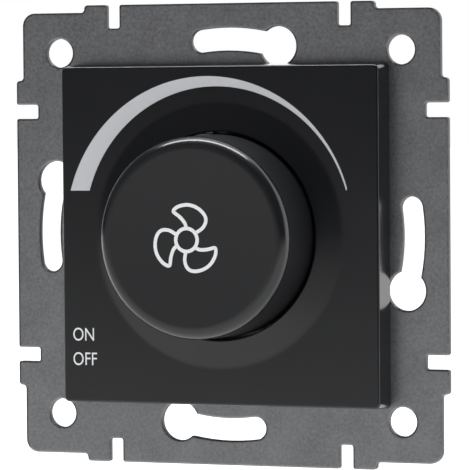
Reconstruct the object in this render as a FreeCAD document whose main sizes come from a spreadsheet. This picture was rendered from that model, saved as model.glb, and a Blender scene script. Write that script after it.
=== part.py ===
import FreeCAD, Part
import math
import os
import re

import Sketcher
from FreeCAD import Rotation, Vector

# Fan speed control switch for a 60 mm wall box.
# The XZ plane is the wall: the steel support frame lies on it with its back face at y = 0.
# The front of the switch faces -Y, +Z is up and +X is to the right for someone facing it.
# The origin is on the axis of the knob. Lengths are in millimetres, angles in degrees.

doc = FreeCAD.newDocument("fan_speed_switch")
sheet = doc.addObject("Spreadsheet::Sheet", "Sizes")

# Driving dimensions, one row each: the alias, its value and what it measures.
SIZES = [
    # Support frame, stamped from steel sheet
    ("frame_width", 71.0, "width and height of the support frame"),
    ("frame_thickness", 1.0, "sheet thickness of the support frame"),
    ("frame_corner_radius", 2.0, "radius of its four outer corners"),
    ("corner_setback", 1.15, "how far the corners stand back from the edges"),
    ("setback_place", 23.85, "distance from the middle of an edge to the setback"),
    ("setback_radius", 0.55, "rounding of the step in the edge"),
    ("notch_place", 19.0, "distance from the middle of an edge to an edge notch"),
    ("notch_width", 2.2, "width of an edge notch"),
    ("notch_depth", 3.65, "depth of an edge notch"),
    ("notch_radius", 0.35, "rounding in and beside an edge notch"),
    ("fixing_radius", 30.0, "fixing screws of the wall box, half of 60 mm"),
    ("slot_width", 3.5, "width of a curved fixing slot"),
    ("slot_far_angle", 8.1, "angle from the edge's middle to the slot's far end"),
    ("slot_near_angle", 16.0, "angle from the edge's middle to the keyhole"),
    ("keyhole_radius", 3.05, "radius of the keyhole that a screw head passes"),
    ("corner_hole_place", 28.1, "distance of a corner hole from either middle line"),
    ("corner_hole_radius", 2.25, "radius of a corner hole"),
    # Cover plate, moulded shell with a shallow raised ring round the knob
    ("cover_width", 51.8, "width of the cover at its front face"),
    ("cover_base_width", 52.4, "width of the cover where it meets the frame"),
    ("cover_rise", 4.3, "height of the cover in front of the frame"),
    ("cover_wall", 1.6, "thickness of the cover's side walls"),
    ("cover_skin", 1.5, "thickness of the cover's front"),
    ("cover_corner_radius", 0.8, "rounding of the cover's four upright edges"),
    ("cover_edge_radius", 0.35, "rounding round the cover's front face"),
    ("ring_radius", 20.1, "outer radius of the raised ring"),
    ("ring_rise", 0.55, "how far the ring has risen beside the knob"),
    ("ring_lip", 0.25, "rounding of the ring's inner edge"),
    ("hook_place_x", 22.6, "distance of a snap hook from the upright middle line"),
    ("hook_place_z", 10.0, "distance of a snap hook from the level middle line"),
    ("hook_width", 5.6, "width of a snap hook"),
    ("hook_thickness", 1.2, "thickness of a snap hook's stem"),
    ("hook_barb", 0.7, "how far the barb stands out from the stem"),
    ("hook_length", 1.9, "how far a hook reaches behind the frame"),
    ("hook_clearance", 0.3, "room round a hook in its window"),
    ("hook_flex", 0.5, "room beside a hook for it to bend while it snaps in"),
    ("hook_gap", 0.05, "gap between a barb and the back of the frame"),
    # Knob, hollow moulding with a hub and ribs
    ("knob_front", 16.3, "distance of the knob's face from the wall"),
    ("knob_back", 3.6, "distance of the knob's lower rim from the wall"),
    ("knob_face_radius", 15.25, "radius of the knob at its face"),
    ("knob_base_radius", 15.5, "radius of the knob at its lower rim"),
    ("knob_edge_radius", 1.8, "rounding round the knob's face"),
    ("knob_hollow", 0.2, "how much deeper the knob's face is at its middle"),
    ("knob_gap", 0.4, "gap round the knob in the cover"),
    ("knob_wall", 1.6, "thickness of the knob's skirt"),
    ("knob_cap", 1.8, "thickness of the knob's face"),
    ("hub_radius", 4.6, "outer radius of the hub"),
    ("hub_clearance", 0.8, "gap between the hub and the bushing"),
    ("rib_thickness", 1.0, "thickness of the knob's inner ribs"),
    ("rib_back", 9.0, "distance of the ribs' lower edges from the wall"),
    ("rib_count", 6, "number of inner ribs"),
    # Spindle and the clip that holds the knob on it
    ("spindle_radius", 3.0, "radius of the spindle"),
    ("spindle_front", 13.4, "distance of the spindle's tip from the wall"),
    ("spindle_chamfer", 0.4, "chamfer at the spindle's tip"),
    ("tip_clearance", 0.5, "gap between the tip and the bottom of the knob's bore"),
    ("flat_height", 1.5, "distance of the spindle's flat from the axis"),
    ("flat_back", 7.0, "distance of the flat's shoulder from the wall"),
    ("clip_thickness", 0.3, "thickness of the clip of spring steel"),
    ("clip_width", 4.2, "width of the clip"),
    ("clip_inset", 0.3, "how far the clip's ends lie inside the flat's length"),
    ("key_width", 5.0, "width of the key in the knob's bore"),
    ("running_clearance", 0.05, "radial clearance of the spindle in its bearings"),
    ("collar_radius", 3.9, "radius of the collar that keeps the spindle in"),
    ("collar_thickness", 0.8, "thickness of the collar"),
    ("collar_gap", 0.1, "end play between the collar and the bushing"),
    ("tail_radius", 2.2, "radius of the spindle's tail"),
    ("tail_depth", 1.3, "how far the tail reaches into the switch"),
    # Potentiometer
    ("thread_radius", 4.5, "outer radius of the bushing's thread"),
    ("thread_front", 4.6, "distance of the bushing's end from the wall"),
    ("thread_chamfer", 0.4, "chamfer at the bushing's end"),
    ("thread_clearance", 0.15, "room round the bushing in the frame"),
    ("fit_clearance", 0.05, "room between a thread or pin and its hole"),
    ("pot_plate_radius", 8.3, "radius of the bushing's base plate"),
    ("pot_plate_thickness", 1.0, "thickness of the bushing's base plate"),
    ("washer_radius", 7.2, "radius of the bushing's washer"),
    ("washer_thickness", 0.5, "thickness of the bushing's washer"),
    ("nut_flats", 11.0, "width across the flats of the bushing's nut"),
    ("nut_thickness", 2.0, "thickness of the bushing's nut"),
    ("pot_radius", 8.5, "radius of the potentiometer's can"),
    ("pot_length", 6.6, "length of the potentiometer's can"),
    ("pot_wall", 0.4, "sheet thickness of the can"),
    ("wafer_radius", 8.0, "radius of the track wafer"),
    ("wafer_thickness", 1.2, "thickness of the track wafer"),
    ("wafer_tongue", 12.0, "width of the wafer's tongue"),
    ("wafer_reach", 11.6, "distance of the tongue's end from the axis"),
    ("wafer_clearance", 0.3, "room round the collar and the tongue"),
    ("lug_pitch", 4.0, "distance between the potentiometer's lugs"),
    ("lug_width", 1.2, "width of a lug"),
    ("lug_thickness", 0.4, "thickness of a lug"),
    ("lug_length", 2.8, "length of a lug on the tongue"),
    ("rotor_radius", 7.2, "radius of the wiper's carrier"),
    ("rotor_thickness", 1.6, "thickness of the wiper's carrier"),
    ("rotor_place", 3.4, "distance of the carrier's front from the wall plane"),
    ("rotor_hub_radius", 3.4, "radius of the carrier's hub"),
    ("rotor_hub_rise", 1.0, "how far the hub stands out from the carrier"),
    ("wiper_thickness", 0.3, "sheet thickness of the wiper"),
    ("wiper_width", 6.0, "width of the wiper"),
    ("wiper_reach", 3.2, "length of the wiper along a radius"),
    ("wiper_finger", 0.8, "width of a wiper finger"),
    ("wiper_gap", 0.1, "gap between the wiper and the track"),
    ("can_length", 5.0, "length of the sealed rotary switch"),
    ("can_tab_place", 3.0, "distance of the switch's tabs from the middle"),
    ("can_tab_gap", 0.3, "gap between a tab and the side of the switch"),
    # Rear housing, moulded box that fits in the wall box
    ("housing_width", 39.0, "width of the rear housing"),
    ("housing_height", 46.0, "height of the rear housing"),
    ("housing_straight", 16.0, "depth of its straight part"),
    ("housing_depth", 23.0, "depth of the rear housing behind the wall plane"),
    ("housing_taper_x", 3.2, "how far each side leans in towards the rear"),
    ("housing_taper_z", 1.5, "how far the top and bottom lean in"),
    ("housing_wall", 1.6, "wall thickness of the rear housing"),
    ("housing_corner_radius", 2.5, "rounding of the housing's long edges"),
    ("housing_chamfer", 0.8, "chamfer round the rear face"),
    ("housing_lip", 0.8, "how far the lip stands out round the mouth"),
    ("housing_lip_depth", 1.4, "thickness of the lip"),
    ("post_inset", 2.7, "distance of a corner post's middle from the cavity's walls"),
    ("post_width", 5.6, "width of a corner post"),
    ("vent_count", 5, "number of cooling slots"),
    ("vent_pitch", 4.0, "distance between cooling slots"),
    ("vent_width", 1.4, "width of a cooling slot"),
    ("vent_height", 9.0, "height of a cooling slot"),
    ("vent_place", 10.0, "height of the cooling slots above the axis"),
    # Screws
    ("screw_radius", 1.4, "radius of a housing screw"),
    ("screw_length", 9.0, "length of a housing screw under its head"),
    ("screw_head_radius", 2.6, "radius of a housing screw's head"),
    ("screw_head_height", 1.5, "height of a housing screw's head"),
    ("screw_clearance", 0.2, "room round a screw where it passes through"),
    ("thread_fit", 0.02, "room round a screw in the hole that it cuts into"),
    ("board_screw_radius", 1.1, "radius of a board screw"),
    ("board_screw_length", 6.0, "length of a board screw under its head"),
    ("board_screw_head_radius", 2.0, "radius of a board screw's head"),
    ("board_screw_head_height", 1.2, "height of a board screw's head"),
    ("screw_slot_width", 0.6, "width of the slot in a screw's head"),
    ("screw_slot_depth", 0.7, "depth of the slot in a screw's head"),
    # Circuit board and insulating sheet
    ("board_front", 5.6, "distance of the board's front from the wall plane"),
    ("board_thickness", 1.6, "thickness of the board"),
    ("board_clearance", 0.4, "room round the board in the housing"),
    ("board_hole_gap", 0.5, "room round the potentiometer in the board"),
    ("sheet_thickness", 0.4, "thickness of the insulating sheet"),
    # Triac, screwed to the frame through a pad
    ("pad_thickness", 0.3, "thickness of the pad under the triac"),
    ("pad_margin", 0.3, "how far the pad stands out round the triac"),
    ("window_clearance", 0.3, "room round the pad in the insulating sheet"),
    ("triac_post_gap", 4.8, "distance of the triac's case from a corner post"),
    ("triac_place_z", 15.8, "height of the triac above the axis"),
    ("triac_width", 10.0, "width of the triac"),
    ("triac_tab_length", 15.2, "length of the triac's metal tab"),
    ("triac_tab_thickness", 1.3, "thickness of the triac's metal tab"),
    ("triac_case_length", 9.2, "length of the triac's moulded case"),
    ("triac_case_height", 3.2, "height of the case on the tab"),
    ("triac_hole_inset", 2.8, "distance of the hole from the tab's end"),
    ("triac_hole_radius", 1.8, "radius of the hole in the tab"),
    ("triac_leg_width", 0.8, "width of a leg"),
    ("triac_leg_thickness", 0.5, "thickness of a leg"),
    ("triac_leg_pitch", 2.54, "distance between the legs"),
    ("triac_leg_length", 2.4, "length of a leg before its bend"),
    ("triac_screw_radius", 1.45, "radius of the triac's screw"),
    ("triac_screw_head_radius", 2.75, "radius of that screw's head"),
    ("triac_screw_head_height", 1.8, "height of that screw's head"),
    ("triac_nut_flats", 5.5, "width across the flats of the triac's nut"),
    ("triac_nut_thickness", 2.4, "thickness of the triac's nut"),
    ("screw_end", 0.4, "how far a screw stands out of its nut"),
    # Capacitors, resistors and diac
    ("post_gap", 0.4, "gap between parts on the board and a corner post"),
    ("capacitor_gap", 2.0, "gap between the two capacitors"),
    ("capacitor_height", 11.8, "height of the large capacitor on the board"),
    ("capacitor_width", 6.0, "thickness of the large capacitor"),
    ("capacitor_place", 11.4, "height of its lower side above the axis"),
    ("capacitor_radius", 0.6, "rounding of the capacitors' edges"),
    ("film_left", 5.0, "distance of the small capacitor from the middle"),
    ("film_height", 6.4, "height of the small capacitor on the board"),
    ("film_width", 2.6, "thickness of the small capacitor"),
    ("film_place", 10.8, "height of its lower side above the axis"),
    ("resistor_place", 15.4, "height of the first resistor above the axis"),
    ("resistor_pitch", 3.2, "distance between the two resistors"),
    ("resistor_left", 5.2, "distance of a resistor's end from the middle"),
    ("resistor_radius", 1.2, "radius of a resistor's body"),
    ("lead_radius", 0.3, "radius of a wire lead"),
    ("lead_reach", 0.5, "length of a lead before its bend"),
    ("lead_step", 0.03, "how much thinner a lead is than its leg"),
    ("lead_lift", 0.2, "gap between a small part and the board"),
    ("diac_place", 9.3, "height of the diac above the axis"),
    ("diac_left", 5.2, "distance of the diac's end from the middle"),
    ("diac_length", 4.0, "length of the diac's body"),
    ("diac_radius", 0.9, "radius of the diac's body"),
    # Choke: a rod of ferrite in a copper winding
    ("choke_gap", 0.6, "gap beside the winding, to the switch and to the housing"),
    ("winding_build", 1.5, "thickness of the winding on the rod"),
    ("choke_core_length", 19.0, "length of the ferrite rod"),
    ("winding_length", 15.0, "length of the winding"),
    # Fuse and its clips
    ("fuse_lift", 3.9, "height of the fuse's axis on the board"),
    ("fuse_length", 20.0, "length of the fuse"),
    ("fuse_cap_radius", 2.6, "radius of a fuse cap"),
    ("fuse_cap_length", 5.0, "length of a fuse cap"),
    ("fuse_cap_wall", 0.3, "sheet thickness of a fuse cap"),
    ("fuse_glass_wall", 0.5, "wall thickness of the fuse's glass tube"),
    ("clip_sheet", 0.35, "sheet thickness of a fuse clip"),
    ("clip_length", 3.2, "length of a fuse clip along the fuse"),
    ("clip_height", 5.4, "height of a fuse clip on the board"),
    ("clip_place", 7.6, "distance of a fuse clip from the level middle line"),
    # Screw terminals
    ("terminal_count", 3, "number of terminals"),
    ("cage_gap", 0.25, "gap between a cage and the walls beside it"),
    ("cage_front", 9.4, "distance of a cage's front from the wall plane"),
    ("cage_depth", 9.2, "depth of a cage"),
    ("cage_lift", 1.2, "gap between a cage and the bottom wall"),
    ("cage_height", 7.6, "height of a cage"),
    ("cage_wall", 1.0, "thickness of a cage's sides"),
    ("cage_window_front", 1.4, "distance of the wire window from the cage's front"),
    ("cage_window_depth", 4.6, "depth of the wire window"),
    ("terminal_screw_radius", 1.75, "radius of a terminal screw"),
    ("terminal_screw_tip", 15.3, "distance of a terminal screw's tip from the wall plane"),
    ("head_side_gap", 0.4, "distance of a terminal screw's head from its cage's sides"),
    ("head_end_gap", 0.9, "distance of that head from its cage's ends"),
    ("terminal_head_front", 19.0, "distance of the head's underside from the wall plane"),
    ("terminal_head_height", 1.9, "height of a terminal screw's head"),
    ("clamp_thickness", 0.8, "thickness of a clamp plate"),
    ("clamp_clearance", 0.2, "room round a clamp plate in its cage"),
    ("tail_width", 3.0, "width of a terminal's tail"),
    ("tail_thickness", 0.8, "thickness of a terminal's tail"),
    ("partition_thickness", 0.9, "thickness of the walls between terminals"),
    ("partition_height", 9.5, "height of the walls between terminals"),
    ("partition_root", 0.2, "how far those walls reach into the bottom wall"),
    ("access_overlap", 0.3, "how far the rear wall covers the rim of a terminal screw"),
    ("wire_radius", 1.8, "radius of a wire entry"),
    ("wire_funnel", 0.6, "chamfer at the mouth of a wire entry"),
]

ALIASES = {row[0] for row in SIZES}
for line, (alias, value, meaning) in enumerate(SIZES, start=1):
    sheet.set(f"A{line}", meaning)
    sheet.set(f"B{line}", str(value))
    sheet.setAlias(f"B{line}", alias)
doc.recompute()

# Expressions that several pieces share
WELL_RADIUS = "(knob_base_radius + knob_gap)"
COVER_FRONT = "(frame_thickness + cover_rise)"
BOARD_BACK = "(board_front + board_thickness)"
POT_BACK = "(pot_plate_thickness + pot_length)"
CAVITY_X = "(housing_width / 2 - housing_wall)"
CAVITY_Z = "(housing_height / 2 - housing_wall)"
POST_X = f"({CAVITY_X} - post_inset)"
POST_Z = f"({CAVITY_Z} - post_inset)"
TRIAC_RIGHT = f"({POST_X} - post_width / 2 - triac_post_gap)"
TRIAC_LEFT = f"({TRIAC_RIGHT} - triac_tab_length)"
TRIAC_HOLE = f"({TRIAC_LEFT} + triac_hole_inset)"
PARTS_RIGHT = f"({POST_X} - post_width / 2 - post_gap)"
SIDE_MIDDLE = f"(({CAVITY_X} + pot_radius) / 2)"
WINDING_RADIUS = f"(({CAVITY_X} - pot_radius) / 2 - choke_gap)"
CORE_RADIUS = f"({WINDING_RADIUS} - winding_build)"
TERMINAL_PITCH = f"(2 * {PARTS_RIGHT} / terminal_count)"
CAGE_WIDTH = f"({TERMINAL_PITCH} - partition_thickness - 2 * cage_gap)"
CAGE_LOW = f"({CAVITY_Z} - cage_lift)"
CAGE_MIDDLE = f"(cage_height / 2 - {CAGE_LOW})"
HEAD_RADIUS = f"min({CAGE_WIDTH} / 2 - head_side_gap; cage_height / 2 - head_end_gap)"

TURNS = {
    "x": Rotation(Vector(0, 1, 0), 90),
    "y": Rotation(Vector(1, 0, 0), -90),
    "z": Rotation(),
}
nodes = []


# Expressions and values

def linked(expression):
    """Write the sheet's name in front of every alias in an expression."""
    def full_name(word):
        return "Sizes." + word[0] if word[0] in ALIASES else word[0]

    return re.sub(r"[a-z][a-z_]*", full_name, str(expression))


def number(expression):
    """Work out an expression with the values that the sheet holds now."""
    result = sheet.evalExpression(linked(expression))
    return float(getattr(result, "Value", result))


def bind(thing, **expressions):
    """Tie properties of an object to expressions of the sheet's values."""
    for name, expression in expressions.items():
        thing.setExpression(name.replace("__", "."), linked(expression))


# Part primitives and booleans

def place(thing, start, axis="z"):
    """Put an object at a point, with its own Z axis along the named axis."""
    thing.Placement.Rotation = TURNS[axis]
    for letter, expression in zip("xyz", start):
        thing.setExpression(f"Placement.Base.{letter}", linked(expression))
    return thing


def rod(name, radius, length, start, axis="y"):
    thing = doc.addObject("Part::Cylinder", name)
    bind(thing, Radius=radius, Height=length)
    return place(thing, start, axis)


def block(name, low, size):
    """A box given by its lowest corner and its size."""
    thing = doc.addObject("Part::Box", name)
    bind(thing, Length=size[0], Width=size[1], Height=size[2])
    return place(thing, low)


def hexagon(name, flats, length, start):
    """A hexagonal bar along Y with two flats facing left and right."""
    thing = doc.addObject("Part::Prism", name)
    thing.Polygon = 6
    bind(thing, Circumradius=f"({flats}) / sqrt(3)", Height=length)
    place(thing, start, "y")
    thing.Placement.Rotation = TURNS["y"].multiply(Rotation(Vector(0, 0, 1), 30))
    return thing


def fuse(name, *things):
    result = doc.addObject("Part::MultiFuse", name)
    result.Shapes = list(things)
    return result


def cut(name, base, *tools):
    result = doc.addObject("Part::Cut", name)
    result.Base = base
    result.Tool = tools[0] if len(tools) == 1 else fuse(name + "_tools", *tools)
    return result


def group(name, members):
    """Separate solids that share one node."""
    result = doc.addObject("Part::Compound", name)
    result.Links = members
    return result


def rounded(name, base, radius, chosen):
    """Round the edges of a Part object that the given test picks."""
    doc.recompute()
    result = doc.addObject("Part::Fillet", name)
    result.Base = base
    amount = number(radius)
    result.Edges = [(i, amount, amount) for i, edge in enumerate(base.Shape.Edges, start=1) if chosen(edge)]
    return result


def node(label, thing):
    """Make an object one of the switch's pieces."""
    thing.Label = label
    nodes.append(thing)
    return thing


# PartDesign bodies, sketches and features

def body(name):
    return doc.addObject("PartDesign::Body", name)


def origin(owner, role):
    return [item for item in owner.Origin.OriginFeatures if item.Role == role][0]


def sketch(owner, name, front="0", plane="XZ_Plane"):
    """A sketch on an origin plane, moved along its normal. On the XZ plane the normal points to the front."""
    drawing = owner.newObject("Sketcher::SketchObject", name)
    drawing.AttachmentSupport = [(origin(owner, plane), "")]
    drawing.MapMode = "FlatFace"
    bind(drawing, AttachmentOffset__Base__z=front)
    return drawing


def fix(drawing, kind, place_of, expression):
    """Add a dimension to a sketch and bind it."""
    index = drawing.addConstraint(Sketcher.Constraint(kind, *place_of, number(expression)))
    drawing.setExpression(f"Constraints[{index}]", linked(expression))


def circle(drawing, radius, at=("0", "0")):
    first = drawing.GeometryCount
    middle = Vector(number(at[0]), number(at[1]), 0)
    drawing.addGeometry(Part.Circle(middle, Vector(0, 0, 1), number(radius)))
    fix(drawing, "Radius", (first,), radius)
    fix(drawing, "DistanceX", (-1, 1, first, 3), at[0])
    fix(drawing, "DistanceY", (-1, 1, first, 3), at[1])


def outline(drawing, corners, arcs=None):
    """Draw a closed outline through the corners. arcs gives the arc that starts at a corner of that number:
    the side of the way to the next corner on which its middle lies, and its radius."""
    arcs = arcs or {}
    first = drawing.GeometryCount
    points = [Vector(number(h), number(v), 0) for h, v in corners]
    count = len(points)
    ends = {}
    for i in range(count):
        start, end = points[i], points[(i + 1) % count]
        ends[i] = (first + i, 1, 2)
        if i not in arcs:
            drawing.addGeometry(Part.LineSegment(start, end))
            continue
        side, radius = arcs[i]
        if side == "right":
            start, end = end, start
            ends[i] = (first + i, 2, 1)
        drawing.addGeometry(arc_between(start, end, number(radius)))
    for i in range(count):
        this, following = ends[i], ends[(i + 1) % count]
        drawing.addConstraint(Sketcher.Constraint("Coincident", this[0], this[2], following[0], following[1]))
    for i, (h, v) in enumerate(corners):
        fix(drawing, "DistanceX", (-1, 1, ends[i][0], ends[i][1]), h)
        fix(drawing, "DistanceY", (-1, 1, ends[i][0], ends[i][1]), v)
    for i, (side, radius) in arcs.items():
        fix(drawing, "Radius", (first + i,), radius)


def arc_between(start, end, radius):
    """The shorter arc from one point to another that has its middle on the left."""
    chord = end - start
    left = Vector(-chord.y, chord.x, 0).normalize()
    middle = (start + end) / 2 + left * math.sqrt(radius ** 2 - (chord.Length / 2) ** 2)
    angles = [math.atan2(point.y - middle.y, point.x - middle.x) for point in (start, end)]
    return Part.ArcOfCircle(Part.Circle(middle, Vector(0, 0, 1), radius), *angles)


def rectangle(drawing, width, height, x="0", z="0"):
    """A rectangle round a point."""
    left, right = f"({x}) - ({width}) / 2", f"({x}) + ({width}) / 2"
    low, high = f"({z}) - ({height}) / 2", f"({z}) + ({height}) / 2"
    outline(drawing, [(left, low), (right, low), (right, high), (left, high)])


def feature(owner, kind, name, drawing, **expressions):
    """A Pad, Pocket, Revolution or Groove made from a sketch."""
    result = owner.newObject("PartDesign::" + kind, name)
    result.Profile = drawing
    bind(result, **expressions)
    owner.Tip = result
    return result


def pad(owner, name, drawing, length, backwards=False):
    """Add material from the sketch to the front, or to the rear."""
    result = feature(owner, "Pad", name, drawing, Length=length)
    result.Reversed = backwards
    return result


def pocket(owner, name, drawing, length, forwards=False):
    """Cut from the sketch to the rear, or to the front."""
    before = volume(owner)
    result = feature(owner, "Pocket", name, drawing, Length=length)
    result.Reversed = forwards
    if not volume(owner) < before:
        raise RuntimeError(f"{name} cuts nothing")
    return result


def turned(owner, kind, name, drawing):
    """A Revolution or Groove about the Y axis, from a profile on the XY plane."""
    result = feature(owner, kind, name, drawing)
    result.ReferenceAxis = (drawing, ["V_Axis"])
    result.Angle = 360
    return result


def lean(owner, name, kind, beside, above, width):
    """Cut or add a wedge along each of the four sides. The wedges' corners are given as (out, depth)."""
    for plane, points in (("XY_Plane", beside), ("YZ_Plane", above)):
        for side in ("", "-"):
            wedge = sketch(owner, f"{name}_{plane[:2].lower()}_{'right' if side else 'left'}", "0", plane)
            corners = [(f"{side}({out})", depth) for out, depth in points]
            outline(wedge, corners if plane == "XY_Plane" else [(depth, out) for out, depth in corners])
            result = feature(owner, kind, wedge.Name + "_wedge", wedge, Length=width)
            result.Midplane = True


def around(owner, name, originals, count):
    """Repeat features round the Y axis."""
    result = owner.newObject("PartDesign::PolarPattern", name)
    result.Originals = originals
    result.Axis = (origin(owner, "Y_Axis"), [""])
    result.Angle = 360
    bind(result, Occurrences=count)
    owner.Tip = result
    return result


def edge_feature(owner, kind, name, chosen, **expressions):
    """A Fillet or Chamfer on the edges of a body that the given test picks."""
    doc.recompute()
    base = owner.Tip
    picked = [f"Edge{i}" for i, edge in enumerate(base.Shape.Edges, start=1) if chosen(edge)]
    result = owner.newObject("PartDesign::" + kind, name)
    result.Base = (base, picked)
    bind(result, **expressions)
    owner.Tip = result


def rounding(owner, name, radius, chosen):
    edge_feature(owner, "Fillet", name, chosen, Radius=radius)


def chamfer(owner, name, size, chosen):
    edge_feature(owner, "Chamfer", name, chosen, Size=size)


def volume(owner):
    doc.recompute()
    return owner.Tip.Shape.Volume if owner.Tip else 0.0


def terminal_places():
    """How far each terminal lies to the right of the middle."""
    count = int(number("terminal_count"))
    return [f"({i} - (terminal_count - 1) / 2) * {TERMINAL_PITCH}" for i in range(count)]


def near(value, *targets):
    return any(abs(abs(value) - number(target)) < 1e-3 for target in targets)


# Support frame

def support_frame():
    frame = body("support_frame")
    face = "frame_thickness"
    square = sketch(frame, "frame_square")
    rectangle(square, "frame_width", "frame_width")
    pad(frame, "frame_sheet", square, "frame_thickness")

    # One corner and one edge with its two notches, then repeated on the other three
    corner = sketch(frame, "corner_outline", face)
    corner_setback(corner)
    cuts = [pocket(frame, "corner_cut", corner, "frame_thickness")]
    for side, sign in (("left", "-"), ("right", "")):
        notch = sketch(frame, f"notch_{side}", face)
        edge_notch(notch, f"{sign}notch_place")
        cuts.append(pocket(frame, f"notch_{side}_cut", notch, "frame_thickness"))

    # Curved slot and keyhole for a fixing screw
    slot = sketch(frame, "slot_outline", face)
    curved_slot(slot)
    cuts.append(pocket(frame, "slot_cut", slot, "frame_thickness"))
    keyhole = sketch(frame, "keyhole_outline", face)
    angle = "slot_near_angle * 1 deg"
    circle(keyhole, "keyhole_radius", (f"fixing_radius * sin({angle})", f"fixing_radius * cos({angle})"))
    cuts.append(pocket(frame, "keyhole_cut", keyhole, "frame_thickness"))
    hole = sketch(frame, "corner_hole_outline", face)
    circle(hole, "corner_hole_radius", ("corner_hole_place", "corner_hole_place"))
    cuts.append(pocket(frame, "corner_hole_cut", hole, "frame_thickness"))
    around(frame, "four_sides", cuts, "4")

    # Holes behind the cover: bushing, triac screw, two housing screws and four windows for the hooks
    middle = sketch(frame, "middle_holes", face)
    circle(middle, "thread_radius + thread_clearance")
    circle(middle, "triac_screw_radius + screw_clearance", (TRIAC_HOLE, "triac_place_z"))
    for sign in ("-", ""):
        circle(middle, "screw_radius + screw_clearance", (f"{sign}{POST_X}", f"{sign}{POST_Z}"))
    width = "hook_thickness + hook_flex + hook_clearance"
    height = "hook_width + 2 * hook_clearance"
    shift = "(hook_clearance - hook_flex) / 2"
    for side in ("-", ""):
        for level in ("-", ""):
            rectangle(middle, width, height, f"{side}(hook_place_x + {shift})", f"{level}hook_place_z")
    pocket(frame, "middle_cut", middle, "frame_thickness")
    node("support_frame", frame)


def corner_setback(drawing):
    """What is cut from a corner: both setbacks with their S-shaped steps, and the round corner."""
    edge = "(frame_width / 2)"
    inner = "(frame_width / 2 - corner_setback)"
    near_edge, past_step = f"{edge} - setback_radius", "setback_place + setback_radius"
    before_step, near_inner = "setback_place - setback_radius", f"{inner} + setback_radius"
    before_corner = f"{inner} - frame_corner_radius"
    corners = [(before_step, edge), ("setback_place", near_edge), ("setback_place", near_inner)]
    corners += [(past_step, inner), (before_corner, inner), (inner, before_corner), (inner, past_step)]
    corners += [(near_inner, "setback_place"), (near_edge, "setback_place"), (edge, before_step)]
    corners += [(edge, edge)]
    outer, foot = ("right", "setback_radius"), ("left", "setback_radius")
    outline(drawing, corners, {0: outer, 2: foot, 4: ("right", "frame_corner_radius"), 6: foot, 8: outer})


def edge_notch(drawing, place_x):
    """A notch in the top edge, rounded at its floor and at its mouth."""
    edge = "(frame_width / 2)"
    floor = "(frame_width / 2 - notch_depth)"
    high, low = f"{edge} - notch_radius", f"{floor} + notch_radius"
    left, right = f"({place_x} - notch_width / 2)", f"({place_x} + notch_width / 2)"
    corners = [(f"{left} - notch_radius", edge), (left, high), (left, low)]
    corners += [(f"{left} + notch_radius", floor), (f"{right} - notch_radius", floor)]
    corners += [(right, low), (right, high), (f"{right} + notch_radius", edge)]
    mouth, foot = ("right", "notch_radius"), ("left", "notch_radius")
    outline(drawing, corners, {0: mouth, 2: foot, 4: foot, 6: mouth})


def curved_slot(drawing):
    """A slot that follows the circle of the fixing screws, with round ends."""
    middle, half = number("fixing_radius"), number("slot_width / 2")
    near_end = math.radians(90 - number("slot_near_angle"))
    far_end = math.radians(90 + number("slot_far_angle"))
    up = Vector(0, 0, 1)

    def cap(angle):
        return Part.Circle(Vector(middle * math.cos(angle), middle * math.sin(angle), 0), up, half)

    drawing.addGeometry(Part.ArcOfCircle(Part.Circle(Vector(), up, middle + half), near_end, far_end))
    drawing.addGeometry(Part.ArcOfCircle(cap(far_end), far_end, far_end + math.pi))
    drawing.addGeometry(Part.ArcOfCircle(Part.Circle(Vector(), up, middle - half), near_end, far_end))
    drawing.addGeometry(Part.ArcOfCircle(cap(near_end), near_end - math.pi, near_end))
    for joint in ((0, 2, 1, 1), (1, 2, 2, 2), (2, 1, 3, 1), (3, 2, 0, 1)):
        drawing.addConstraint(Sketcher.Constraint("Tangent", *joint))
    for ring in (0, 2):
        drawing.addConstraint(Sketcher.Constraint("Coincident", ring, 3, -1, 1))
    fix(drawing, "Radius", (0,), "fixing_radius + slot_width / 2")
    fix(drawing, "Radius", (1,), "slot_width / 2")
    fix(drawing, "DistanceX", (-1, 1, 1, 3), "-fixing_radius * sin(slot_far_angle * 1 deg)")
    fix(drawing, "DistanceX", (-1, 1, 3, 3), "fixing_radius * sin(slot_near_angle * 1 deg)")


# Cover plate

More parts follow.
